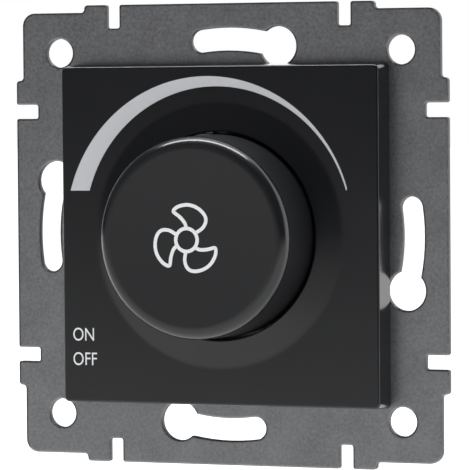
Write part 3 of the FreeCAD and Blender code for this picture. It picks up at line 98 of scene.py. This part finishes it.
cameraSetup = {
    "azimuth": 21.53,  # degrees to the right of straight in front
    "elevation": 2.23,
    "roll": -0.43,
    "distance": 572.2,  # mm
    "aim": (0.672, 0, -0.082),
    "lens": 285.2,
    "sensor": 36,
    "nearest": 10,  # mm, nothing closer is drawn
}


def makeCamera(setup):
    azimuth, elevation = math.radians(setup["azimuth"]), math.radians(setup["elevation"])
    level = math.cos(elevation)
    back = Vector((math.sin(azimuth) * level, -math.cos(azimuth) * level, math.sin(elevation)))
    camera = bpy.data.objects.new("camera", bpy.data.cameras.new("camera"))
    scene.collection.objects.link(camera)
    camera.data.lens = setup["lens"]
    camera.data.sensor_width = setup["sensor"]
    camera.data.clip_start = setup["nearest"] * mm
    camera.location = (Vector(setup["aim"]) + back * setup["distance"]) * mm
    camera.rotation_mode = "QUATERNION"
    turn = Quaternion((0, 0, 1), math.radians(setup["roll"]))
    camera.rotation_quaternion = (-back).to_track_quat("-Z", "Y") @ turn
    scene.camera = camera


makeCamera(cameraSetup)
print("camera ready")


# Studio: a white backdrop behind and a little to the right, a dark room in front, a pale floor below
# and one soft lamp straight above

studio = {
    "ambient": 0.65,  # even light that falls on everything
    "backdrop": 1.0,
    "backdropInGloss": 1.9,
    "backdropSide": (0.3, 0.95, 0),  # where the backdrop stands, as gloss shows it
    "backdropEdge": (0.05, 0.35),  # how softly it ends
    # what gloss shows of the room in front: height (-1 below, 1 above) and brightness
    "roomInFront": [(-1.0, 1.08), (-0.105, 1.08), (-0.03, 0.1), (0.05, 0.02), (0.2, 0.11),
                    (0.6, 0.05), (0.85, 0.3), (0.95, 1.0)],
    "roomOnTheRight": (-0.36, -0.1, 0.5),  # it is darker there: from x, to x, and how bright
    "floorHeight": -120,  # mm, below the part
    "floorFront": -450,  # mm, it ends in front of the camera, and runs far to the sides and the back
    "floorSides": 6000,
    "floorBack": 8000,
    "floorColour": "#f4f4f4",
    "floorWhite": 0.6,  # what the camera sees on top of the lit floor
    "floorInGloss": (1.05, 1.9),  # how bright gloss shows it: in front of the part, and behind it
    "floorFade": (-100, 150),  # mm, where it goes from the one to the other
    "lampPlace": (-300, -40, 1250),  # mm
    "lampSize": (1500, 340),
    "lampPower": 19.5,
}


def makeSky(setup):
    world = bpy.data.worlds.new("studio")
    scene.world = world
    world.use_nodes = True
    tree = world.node_tree
    tree.nodes.clear()
    direction = addNode(tree, "ShaderNodeTexCoord").outputs["Generated"]
    parts = addNode(tree, "ShaderNodeSeparateXYZ", links={"Vector": direction})

    level = addNode(tree, "ShaderNodeMapRange", {"From Min": -1.0}, {"Value": parts.outputs["Z"]})
    room = addNode(tree, "ShaderNodeValToRGB", links={"Fac": level.outputs[0]})
    room.color_ramp.interpolation = "EASE"
    stops = room.color_ramp.elements
    for i, (height, bright) in enumerate(setup["roomInFront"]):
        position = (height + 1) / 2
        stop = stops[i] if i < 2 else stops.new(position)
        stop.position = position
        stop.color = (bright, bright, bright, 1)
    start, end, dim = setup["roomOnTheRight"]
    shade = addNode(tree, "ShaderNodeMapRange",
                    {"From Min": start, "From Max": end, "To Min": 1, "To Max": dim},
                    {"Value": parts.outputs["X"]})
    front = addNode(tree, "ShaderNodeMath", links={0: room.outputs["Color"], 1: shade.outputs["Result"]},
                    operation="MULTIPLY")

    towards = addNode(tree, "ShaderNodeVectorMath", {1: setup["backdropSide"]}, {0: direction},
                      operation="DOT_PRODUCT")
    near, far = setup["backdropEdge"]
    behind = addNode(tree, "ShaderNodeMapRange", {"From Min": near, "From Max": far},
                     {"Value": towards.outputs["Value"]}, interpolation_type="SMOOTHSTEP")
    mirrored = addNode(tree, "ShaderNodeMix", {"B": setup["backdropInGloss"]},
                       {"Factor": behind.outputs[0], "A": front.outputs[0]})

    cameraRay, mirrorRay = rayKinds(tree)
    lit = addNode(tree, "ShaderNodeMix", {"A": setup["ambient"], "B": setup["backdrop"]},
                  {"Factor": cameraRay})
    amount = addNode(tree, "ShaderNodeMix",
                     links={"Factor": mirrorRay, "A": lit.outputs[0], "B": mirrored.outputs[0]})
    sky = addNode(tree, "ShaderNodeBackground", {"Color": white}, {"Strength": amount.outputs[0]})
    addNode(tree, "ShaderNodeOutputWorld", links={"Surface": sky.outputs["Background"]})


def makeFloor(setup):
    names = ("floorSides", "floorFront", "floorBack", "floorHeight")
    side, front, back, height = [setup[name] * mm for name in names]
    mesh = bpy.data.meshes.new("floor")
    corners = [(-side, front, height), (side, front, height), (side, back, height), (-side, back, height)]
    mesh.from_pydata(corners, [], [(0, 1, 2, 3)])
    floor = bpy.data.objects.new("floor", mesh)
    scene.collection.objects.link(floor)

    # matt paint: even and pale, it keeps the part's shadow
    material, tree, output, place = newMaterial("paleFloor")
    cameraRay, mirrorRay = rayKinds(tree)
    paint = addNode(tree, "ShaderNodeBsdfDiffuse", {"Color": linearColour(setup["floorColour"])})
    glow = addNode(tree, "ShaderNodeMath", {1: setup["floorWhite"]}, {0: cameraRay}, operation="MULTIPLY")
    shine = addNode(tree, "ShaderNodeEmission", {"Color": white}, {"Strength": glow.outputs[0]})
    plain = addNode(tree, "ShaderNodeAddShader", links={0: paint.outputs[0], 1: shine.outputs[0]})
    parts = addNode(tree, "ShaderNodeSeparateXYZ", links={"Vector": place})
    start, end = [y * mm for y in setup["floorFade"]]
    low, high = setup["floorInGloss"]
    faded = addNode(tree, "ShaderNodeMapRange",
                    {"From Min": start, "From Max": end, "To Min": low, "To Max": high},
                    {"Value": parts.outputs["Y"]})
    mirrored = addNode(tree, "ShaderNodeEmission", {"Color": white}, {"Strength": faded.outputs[0]})
    both = addNode(tree, "ShaderNodeMixShader",
                   links={0: mirrorRay, 1: plain.outputs[0], 2: mirrored.outputs[0]})
    tree.links.new(both.outputs[0], output.inputs["Surface"])
    mesh.materials.append(material)


def makeLamp(setup):
    # it shines straight down, so it needs no turn
    light = bpy.data.lights.new("softLamp", "AREA")
    light.shape = "RECTANGLE"
    light.size, light.size_y = [size * mm for size in setup["lampSize"]]
    light.energy = setup["lampPower"]
    lamp = bpy.data.objects.new("softLamp", light)
    scene.collection.objects.link(lamp)
    lamp.location = Vector(setup["lampPlace"]) * mm


makeSky(studio)
makeFloor(studio)
makeLamp(studio)
scene.view_settings.view_transform = "Standard"
print("studio ready")


# Moulded plastic takes the finish of its steel mould, with a very fine grain, so highlights are soft and
# even. The real grain is too fine to show, so it is drawn a few times coarser.

plastic = {
    "mottle": 9,  # mm, patches that are a little more or less glossy
    "highSpots": 1.12,  # the grain's high spots are so much lighter
    "bump": 0.35,
}
edgeSamples = 6  # rays for each soft edge; no edge of a real part is quite sharp


def mouldedPlastic(name, colour, roughness, grain=0.25, grainDepth=0.002, spread=0.04, ior=1.5, soft=0.1,
                   facets=(), ring=None):
    # grain, grainDepth and soft, the radius of its edges, are in mm; facets are (from, to, roughness) for
    # faces that look less and less forwards; ring is a dictionary like coverRing
    material, tree, output, place = newMaterial(name)
    base = linearColour(colour)
    fine = addNode(tree, "ShaderNodeTexNoise", {"Scale": waves(grain), "Detail": 2.0}, {"Vector": place})
    broad = addNode(tree, "ShaderNodeTexNoise", {"Scale": waves(plastic["mottle"]), "Detail": 3.0},
                    {"Vector": place})
    gloss = addNode(tree, "ShaderNodeMapRange", {"To Min": roughness - spread, "To Max": roughness + spread},
                    {"Value": broad.outputs["Fac"]})
    tint = addNode(tree, "ShaderNodeMix", {"A": base, "B": shaded(base, plastic["highSpots"])},
                   {"Factor": fine.outputs["Fac"]}, data_type="RGBA")
    if facets:
        front = facingFront(tree)
        for start, end, value in facets:
            part = addNode(tree, "ShaderNodeMapRange", {"From Min": start, "From Max": end}, {"Value": front})
            gloss = addNode(tree, "ShaderNodeMix", {"B": value},
                            {"Factor": part.outputs["Result"], "A": gloss.outputs[0]})
    worn = addNode(tree, "ShaderNodeBevel", {"Radius": soft * mm}, samples=edgeSamples)
    if ring:
        across = addNode(tree, "ShaderNodeVectorMath", {1: (1, 0, 1)}, {0: place}, operation="MULTIPLY")
        fromAxis = addNode(tree, "ShaderNodeVectorMath", links={0: across.outputs["Vector"]},
                           operation="LENGTH")
        start, end = [radius * mm for radius in ring["well"]]
        inside = addNode(tree, "ShaderNodeMapRange", {"From Min": start, "From Max": end},
                         {"Value": fromAxis.outputs["Value"]})
        gloss = addNode(tree, "ShaderNodeMix", {"B": ring["wellRoughness"]},
                        {"Factor": inside.outputs["Result"], "A": gloss.outputs[0]})
        off = addNode(tree, "ShaderNodeMath", {1: ring["radius"] * mm}, {0: fromAxis.outputs["Value"]},
                      operation="SUBTRACT")
        off = addNode(tree, "ShaderNodeMath", links={0: off.outputs[0]}, operation="ABSOLUTE")
        size = addNode(tree, "ShaderNodeMapRange",
                       {"From Max": ring["reach"] * mm, "To Min": ring["soft"] * mm, "To Max": soft * mm},
                       {"Value": off.outputs[0]})
        tree.links.new(size.outputs["Result"], worn.inputs["Radius"])
    bump = addNode(tree, "ShaderNodeBump", {"Strength": plastic["bump"], "Distance": grainDepth * mm},
                   {"Height": fine.outputs["Fac"], "Normal": worn.outputs["Normal"]})
    shader = addNode(tree, "ShaderNodeBsdfPrincipled", {"IOR": ior, "Metallic": 0.0},
                     {"Base Color": tint.outputs["Result"], "Roughness": gloss.outputs[0],
                      "Normal": bump.outputs["Normal"]})
    tree.links.new(shader.outputs[0], output.inputs["Surface"])
    return material


# Plated or bare metal is rolled or turned, with a sandy mottle from the plating bath, so its highlights are
# broad and a little cloudy

plating = {
    "noiseRange": (0.3, 0.7),  # what the noise reaches, spread over the whole contrast
    "cloud": 12,  # clouds are so many times as wide as the speckle
    "cloudShare": 0.3,
    "bump": 0.4,
}


def platedMetal(name, colour, roughness, speckle=0.5, contrast=0.2, spread=0.08, depth=0.002, soft=0.06,
                punched=None):
    # speckle, depth and soft are in mm; punched is a dictionary like punchedEdges
    material, tree, output, place = newMaterial(name)
    base = linearColour(colour)
    low, high = plating["noiseRange"]
    fine = addNode(tree, "ShaderNodeTexNoise", {"Scale": waves(speckle), "Detail": 2.0, "Roughness": 0.55},
                   {"Vector": place})
    cloud = addNode(tree, "ShaderNodeTexNoise", {"Scale": waves(speckle * plating["cloud"]), "Detail": 2.0},
                    {"Vector": place})
    both = addNode(tree, "ShaderNodeMix", {"Factor": plating["cloudShare"]},
                   {"A": fine.outputs["Fac"], "B": cloud.outputs["Fac"]})
    ramp = addNode(tree, "ShaderNodeMapRange", {"From Min": low, "From Max": high}, {"Value": both.outputs[0]})
    tint = addNode(tree, "ShaderNodeMix", {"A": shaded(base, 1 - contrast), "B": shaded(base, 1 + contrast)},
                   {"Factor": ramp.outputs["Result"]}, data_type="RGBA").outputs["Result"]
    gloss = addNode(tree, "ShaderNodeMapRange",
                    {"From Min": low, "From Max": high, "To Min": roughness - spread,
                     "To Max": roughness + spread}, {"Value": fine.outputs["Fac"]}).outputs["Result"]
    worn = addNode(tree, "ShaderNodeBevel", {"Radius": soft * mm}, samples=edgeSamples)
    if punched:
        start, end = punched["turn"]
        torn = addNode(tree, "ShaderNodeMapRange", {"From Min": start, "From Max": end},
                       {"Value": facingFront(tree)}).outputs["Result"]
        tint = addNode(tree, "ShaderNodeMix", {"B": linearColour(punched["colour"])},
                       {"Factor": torn, "A": tint}, data_type="RGBA").outputs["Result"]
        gloss = addNode(tree, "ShaderNodeMix", {"B": punched["roughness"]},
                        {"Factor": torn, "A": gloss}).outputs[0]
        # painted shade: where a rounded edge looks left and up, its colour is drawn dark
        lean = addNode(tree, "ShaderNodeVectorMath", {1: punched["paintedShadeSide"]}, {0: worn.outputs["Normal"]},
                       operation="DOT_PRODUCT")
        start, end = punched["paintedShadeTurn"]
        paintedEdgeShade = addNode(tree, "ShaderNodeMapRange",
                       {"From Min": start, "From Max": end, "To Max": punched["paintedShadeDepth"]},
                       {"Value": lean.outputs["Value"]}).outputs["Result"]
        tint = addNode(tree, "ShaderNodeMix", {"B": linearColour(punched["paintedShadeColour"])},
                       {"Factor": paintedEdgeShade, "A": tint}, data_type="RGBA").outputs["Result"]
    bump = addNode(tree, "ShaderNodeBump", {"Strength": plating["bump"], "Distance": depth * mm},
                   {"Height": fine.outputs["Fac"], "Normal": worn.outputs["Normal"]})
    shader = addNode(tree, "ShaderNodeBsdfPrincipled", {"Metallic": 1.0},
                     {"Base Color": tint, "Roughness": gloss, "Normal": bump.outputs["Normal"]})
    tree.links.new(shader.outputs[0], output.inputs["Surface"])
    return material


# Paper laminate is pressed from layers of brown paper, so fibres show through the resin

laminate = {
    "fibre": 0.5,  # mm across
    "stretch": (0.15, 1, 1),  # fibres lie along X
    "betweenFibres": 0.8,  # so much darker
    "depth": 0.01,  # mm
    "bump": 0.3,
    "roughness": 0.45,
    "ior": 1.55,
}


def paperLaminate(name, colour):
    material, tree, output, place = newMaterial(name)
    base = linearColour(colour)
    stretched = addNode(tree, "ShaderNodeMapping", {"Scale": laminate["stretch"]}, {"Vector": place})
    fibre = addNode(tree, "ShaderNodeTexNoise", {"Scale": waves(laminate["fibre"]), "Detail": 5.0},
                    {"Vector": stretched.outputs["Vector"]})
    tint = addNode(tree, "ShaderNodeMix", {"A": shaded(base, laminate["betweenFibres"]), "B": base},
                   {"Factor": fibre.outputs["Fac"]}, data_type="RGBA")
    bump = addNode(tree, "ShaderNodeBump", {"Strength": laminate["bump"], "Distance": laminate["depth"] * mm},
                   {"Height": fibre.outputs["Fac"]})
    shader = addNode(tree, "ShaderNodeBsdfPrincipled",
                     {"Roughness": laminate["roughness"], "IOR": laminate["ior"]},
                     {"Base Color": tint.outputs["Result"], "Normal": bump.outputs["Normal"]})
    tree.links.new(shader.outputs[0], output.inputs["Surface"])
    return material


# Enamelled copper wire lies in close turns round its rod, so light runs along it in ridges; the shade between
# the ridges is painted into its colour

winding = {
    "ridge": 3.5,  # mm; the turns are 0.55 mm apart, too fine to show, so a ridge stands for about six
    "distortion": 0.3,
    "paintedValleyShade": 0.45,  # how dark the painted shade between the ridges is
    "depth": 0.15,  # mm
    "bump": 0.8,
    "roughness": 0.3,
}


def woundWire(name, colour):
    material, tree, output, place = newMaterial(name)
    base = linearColour(colour)
    bands = 2 * math.pi / 20  # the wave texture has one band for each such length
    turns = addNode(tree, "ShaderNodeTexWave",
                    {"Scale": waves(winding["ridge"]) * bands, "Distortion": winding["distortion"]},
                    {"Vector": place}, wave_type="BANDS", bands_direction="Z")
    # painted shade: the colour is darker between the ridges
    tint = addNode(tree, "ShaderNodeMix", {"A": shaded(base, winding["paintedValleyShade"]), "B": base},
                   {"Factor": turns.outputs["Fac"]}, data_type="RGBA")
    bump = addNode(tree, "ShaderNodeBump", {"Strength": winding["bump"], "Distance": winding["depth"] * mm},
                   {"Height": turns.outputs["Fac"]})
    shader = addNode(tree, "ShaderNodeBsdfPrincipled", {"Metallic": 1.0, "Roughness": winding["roughness"]},
                     {"Base Color": tint.outputs["Result"], "Normal": bump.outputs["Normal"]})
    tree.links.new(shader.outputs[0], output.inputs["Surface"])
    return material


# Fuse glass is a clear drawn tube, with faint ripples that bend what shows through it

glass = {
    "ripple": 3,  # mm
    "depth": 0.02,  # mm
    "bump": 0.1,
    "roughness": 0.03,
    "ior": 1.5,
}


def fuseGlass(name, colour):
    material, tree, output, place = newMaterial(name)
    ripple = addNode(tree, "ShaderNodeTexNoise", {"Scale": waves(glass["ripple"])}, {"Vector": place})
    bump = addNode(tree, "ShaderNodeBump", {"Strength": glass["bump"], "Distance": glass["depth"] * mm},
                   {"Height": ripple.outputs["Fac"]})
    shader = addNode(tree, "ShaderNodeBsdfPrincipled",
                     {"Base Color": linearColour(colour), "Roughness": glass["roughness"], "IOR": glass["ior"],
                      "Transmission Weight": 1.0}, {"Normal": bump.outputs["Normal"]})
    tree.links.new(shader.outputs[0], output.inputs["Surface"])
    return material


coverRing = {
    # the foot of the cover's raised ring runs gently into the flat, and the well inside it is dull
    "radius": 20.1,  # mm
    "reach": 1.6,  # so far from the foot, edges are as sharp as elsewhere
    "soft": 1.2,
    "well": (16.0, 15.85),
    "wellRoughness": 0.6,
}

punchedEdges = {
    # where the punch went through, the sheet is torn: darker and rougher than its rolled faces
    "colour": "#5c5d5f",
    "roughness": 0.6,
    "turn": (0.8, 0.3),  # from a face that looks forwards to a wall
    "paintedShadeColour": "#1d1e1f",  # painted shade: a dark line on the rounded edges that look left and up, on the right and lower side of each hole
    "paintedShadeSide": (-0.8, 0, 0.6),  # where the edges with the painted shade look
    "paintedShadeTurn": (0.02, 0.1),
    "paintedShadeDepth": 0.95,
}

materials = {
    # glossy black plastic: a clear reflection in the flat, a sharp one in the rounded edges
    "coverAbs": mouldedPlastic("coverAbs", "#121316", 0.2, ior=1.54, soft=0.09, ring=coverRing,
                               facets=((0.98, 0.9, 0.08), (0.2, 0.06, 0.22))),
    # satin black plastic: a soft sheen on the face and the side, a thin bright line round the rim
    "knobAbs": mouldedPlastic("knobAbs", "#17181b", 0.36, ior=1.58,
                              facets=((0.98, 0.9, 0.17), (0.2, 0.06, 0.42))),
    # glass-filled nylon: dark grey and dull, with a grain that can be seen
    "housingNylon": mouldedPlastic("housingNylon", "#37383a", 0.5, grain=0.6, grainDepth=0.01),
    # pad-printed inks: thin, even and satin
    "silverPadInk": mouldedPlastic("silverPadInk", "#c6c7cb", 0.45, grain=0.35, grainDepth=0.001, spread=0.05),
    "whitePadInk": mouldedPlastic("whitePadInk", "#e6e7e9", 0.45, grain=0.35, grainDepth=0.001, spread=0.05),
    # passivated zinc on rolled steel: grey and sandy, with dull edges
    "zincPlatedSheet": platedMetal("zincPlatedSheet", "#98999b", 0.4, speckle=0.45, contrast=0.24, spread=0.06,
                                   soft=0.45, punched=punchedEdges),
    # small turned, stamped and plated parts: brighter than the sheet, and finer
    "zincPlatedScrew": platedMetal("zincPlatedScrew", "#b4b6b8", 0.3, speckle=0.25),
    "springSteel": platedMetal("springSteel", "#a4a5a8", 0.28, speckle=0.3, contrast=0.1),
    "turnedAluminium": platedMetal("turnedAluminium", "#c9cacc", 0.3, speckle=0.2, contrast=0.08),
    "nickelPlatedBrass": platedMetal("nickelPlatedBrass", "#c7c1b2", 0.24, speckle=0.4, contrast=0.08),
    "tinnedBrass": platedMetal("tinnedBrass", "#bdbcb7", 0.35, speckle=0.4, contrast=0.12),
    "tinnedCopper": platedMetal("tinnedCopper", "#b9b6ae", 0.38, speckle=0.5, contrast=0.12),
    "paperLaminate": paperLaminate("paperLaminate", "#7d5a34"),
    # plain, phenolic and fibre insulators: dull, each with its own grain
    "nylon": mouldedPlastic("nylon", "#dedbd2", 0.5, grain=0.6),
    "phenolicBlack": mouldedPlastic("phenolicBlack", "#1d1d1e", 0.45, grain=0.4),
    "fibrePaper": mouldedPlastic("fibrePaper", "#8e9192", 0.75, grain=0.5, grainDepth=0.02),
    # dipped coatings: glossy and slightly wavy
    "epoxyCase": mouldedPlastic("epoxyCase", "#39507c", 0.25, grain=1.5),
    "resistorLacquer": mouldedPlastic("resistorLacquer", "#b7a27c", 0.25, grain=1.2),
    "diacLacquer": mouldedPlastic("diacLacquer", "#2f4d80", 0.2, grain=1.2),
    # fired ferrite powder: nearly black and dull
    "ferrite": mouldedPlastic("ferrite", "#303132", 0.55, grain=0.4, grainDepth=0.01),
    "enamelledCopper": woundWire("enamelledCopper", "#c07a4a"),
    "drawnGlass": fuseGlass("drawnGlass", "#f3f8f7"),
}

finishes = {
    "coverAbs": ["cover_plate"],
    "knobAbs": ["control_knob"],
    "housingNylon": ["rear_housing"],
    "zincPlatedSheet": ["support_frame", "pot_case"],
    "zincPlatedScrew": ["bushing_washer", "bushing_nut", "housing_screws", "board_screws", "triac_screw",
                        "triac_nut", "terminal_screws"],
    "springSteel": ["knob_clip", "fuse_clips"],
    "turnedAluminium": ["spindle"],
    "nickelPlatedBrass": ["pot_bushing", "fuse_caps", "terminal_cages", "clamp_plates", "terminal_tails"],
    "tinnedBrass": ["pot_lugs", "switch_tabs", "triac_legs", "wiper_spring"],
    "tinnedCopper": ["triac_tab"],
    "paperLaminate": ["track_wafer", "circuit_board"],
    "nylon": ["wiper_rotor"],
    "phenolicBlack": ["rotary_switch", "triac_case"],
    "fibrePaper": ["insulating_sheet", "triac_pad"],
    "epoxyCase": ["suppression_capacitor", "timing_capacitor"],
    "resistorLacquer": ["resistors"],
    "diacLacquer": ["diac"],
    "ferrite": ["choke_core"],
    "enamelledCopper": ["choke_winding"],
    "drawnGlass": ["fuse_tube"],
}

shading = {
    # nodes whose roundings run smoothly into their flat faces; the others are crisp between packed faces
    "rounded": ["control_knob", "rear_housing", "suppression_capacitor", "timing_capacitor"],
    "weld": 0.0005,  # mm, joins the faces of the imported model
    "smoothAngle": 32,  # degrees, anything sharper stays a crisp edge
    "largeFaces": 100,  # how much more they count than small ones
}


def dressNodes():
    for finish, names in finishes.items():
        for name in names:
            node = nodes[name]
            node.data.materials.clear()
            node.data.materials.append(materials[finish])
            node.data.shade_smooth()
            if name not in shading["rounded"]:
                continue
            weld = node.modifiers.new("weld", "WELD")
            weld.merge_threshold = shading["weld"] * mm
            split = node.modifiers.new("crispEdges", "EDGE_SPLIT")
            split.split_angle = math.radians(shading["smoothAngle"])
            even = node.modifiers.new("evenFaces", "WEIGHTED_NORMAL")
            even.weight = shading["largeFaces"]


dressNodes()
print("CAD nodes finished")


# Flat print: thin closed shapes, a hair proud of the plastic

printing = {
    "proud": 0.02,  # mm
    "stroke": 0.55,
    "coverFront": -5.3,
    "knobFront": -16.3,  # the knob's face at its rim; it is a little deeper at the middle
    "knobHollow": 0.2,
    "knobFace": 13.25,  # radius of the hollow
}


def onCover(x, z):
    return printing["coverFront"]


def onKnob(x, z):
    near = 1 - (x * x + z * z) / printing["knobFace"] ** 2
    return printing["knobFront"] + printing["knobHollow"] * near


def printedFaces(name, points, faces, surface, body, ink="whitePadInk", proud=printing["proud"]):
    # points (x, z) in mm, laid on a surface; faces are lists of point numbers
    mesh = bpy.data.meshes.new(name)
    mesh.from_pydata([(x * mm, (surface(x, z) - proud) * mm, z * mm) for x, z in points], [], faces)
    mesh.update()
    piece = bpy.data.objects.new(name, mesh)
    scene.collection.objects.link(piece)
    solid = piece.modifiers.new("ink", "SOLIDIFY")
    solid.thickness = 2 * proud * mm
    solid.offset = 0  # half of it sinks into the plastic
    mesh.materials.append(materials[ink])
    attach(piece, body)


def band(outer, inner, closed=True):
    # points and faces of a strip between two equally long lines
    count = len(outer)
    faces = []
    for i in range(count if closed else count - 1):
        j = (i + 1) % count
        faces.append((i, j, count + j, count + i))
    return list(outer) + list(inner), faces


def strokePath(points, width, closed=True):
    # a strip of even width along a line
    count = len(points)
    outer, inner = [], []
    for i, (x, z) in enumerate(points):
        before = points[(i - 1) % count] if closed or i else points[i]
        after = points[(i + 1) % count] if closed or i < count - 1 else points[i]
        along = Vector((after[0] - before[0], after[1] - before[1])).normalized()
        side = Vector((-along.y, along.x)) * width / 2
        outer.append((x + side.x, z + side.y))
        inner.append((x - side.x, z - side.y))
    return band(outer, inner, closed)


# Speed wedge: an arc that narrows clockwise, cut level at its wide end

wedge = {
    "outerCentre": (-1.717, 0.769), "outerRadius": 23.565,
    "innerCentre": (-0.243, 0.914), "innerRadius": 21.855,
    "level": 6.82,  # height of the wide end's cut
    "tip": 16.0,  # degrees from +X where the narrow end stops
    "steps": 160,
}


def makeWedge(w):
    def arc(centre, radius):
        # from the tip to where the level cut meets this circle
        start, end = math.radians(w["tip"]), math.pi - math.asin((w["level"] - centre[1]) / radius)
        angles = [start + (end - start) * i / w["steps"] for i in range(w["steps"] + 1)]
        return [(centre[0] + radius * math.cos(a), centre[1] + radius * math.sin(a)) for a in angles]

    outer = arc(w["outerCentre"], w["outerRadius"])
    inner = arc(w["innerCentre"], w["innerRadius"])
    points, faces = band(outer, inner, closed=False)
    printedFaces("speed_wedge", points, faces, onCover, "fixed_parts", "silverPadInk")


makeWedge(wedge)


# Fan sign on the knob: a hub ring and three swept blades, drawn as outlines

fanSign = {
    "centre": (-0.79, -0.21),
    "hub": 1.73,  # mm, middle of the ring's line
    "hubSteps": 64,
    "hubProud": 1.3,  # the ring lies over the blades' ends
    "turns": (0, 118.5, -130),  # degrees for each blade
    # one blade, from the hub out and back, as points (x, z) of a smooth line
    "blade": [(0.02, 1.7), (-0.23, 2.49), (-0.68, 3.07), (-1.21, 3.57), (-1.8, 3.99), (-2.06, 4.25),
              (-1.93, 4.57), (-1.39, 4.95), (-0.68, 5.18), (0.21, 5.27), (1.11, 5.1), (1.91, 4.73),
              (2.63, 4.15), (3.07, 3.49), (3.16, 2.91), (2.98, 2.33), (2.54, 1.74), (1.95, 1.33), (1.35, 1.0)],
    "bladeSteps": 8,  # between two of its points
}


def smoothLine(points, steps):
    # a curve through all points
    result = []
    count = len(points)
    for i in range(count - 1):
        p0 = Vector(points[max(i - 1, 0)])
        p1, p2 = Vector(points[i]), Vector(points[i + 1])
        p3 = Vector(points[min(i + 2, count - 1)])
        for k in range(steps):
            t = k / steps
            point = 0.5 * (2 * p1 + (p2 - p0) * t + (2 * p0 - 5 * p1 + 4 * p2 - p3) * t ** 2
                           + (3 * p1 - p0 - 3 * p2 + p3) * t ** 3)
            result.append(tuple(point))
    return result + [tuple(points[-1])]


def makeFanSign(sign):
    cx, cz = sign["centre"]
    angles = [2 * math.pi * i / sign["hubSteps"] for i in range(sign["hubSteps"])]
    ring = [(cx + sign["hub"] * math.cos(a), cz + sign["hub"] * math.sin(a)) for a in angles]
    points, faces = strokePath(ring, printing["stroke"])
    printedFaces("fan_hub", points, faces, onKnob, "turning_parts", proud=printing["proud"] * sign["hubProud"])
    blade = smoothLine(sign["blade"], sign["bladeSteps"])
    for k, degrees in enumerate(sign["turns"]):
        turn = math.radians(degrees)
        line = [(cx + x * math.cos(turn) - z * math.sin(turn), cz + x * math.sin(turn) + z * math.cos(turn))
                for x, z in blade]
        points, faces = strokePath(line, printing["stroke"], closed=False)
        printedFaces(f"fan_blade_{k + 1}", points, faces, onKnob, "turning_parts")


makeFanSign(fanSign)


# Words on the cover: plain condensed capitals

words = {
    "left": -24.4,
    "lines": [("ON", -16.4), ("OFF", -20.2)],  # text and height of its foot
    "capHeight": 2.1,
    "capShare": 0.729,  # a capital's height in Blender's own font, for a size of 1
    "narrow": 0.82,
    "thickness": 0.75,  # of what the print stands proud
}


def makeWords(w):
    for text, foot in w["lines"]:
        curve = bpy.data.curves.new("word_" + text.lower(), "FONT")
        curve.body = text
        curve.size = w["capHeight"] / w["capShare"] * mm
        curve.extrude = printing["proud"] * w["thickness"] * mm
        piece = bpy.data.objects.new("word_" + text.lower(), curve)
        scene.collection.objects.link(piece)
        piece.rotation_euler = (math.pi / 2, 0, 0)
        piece.scale = (w["narrow"], 1, 1)
        piece.location = (w["left"] * mm, (printing["coverFront"] - printing["proud"]) * mm, foot * mm)
        curve.materials.append(materials["whitePadInk"])
        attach(piece, "fixed_parts")


makeWords(words)
print("print finished")
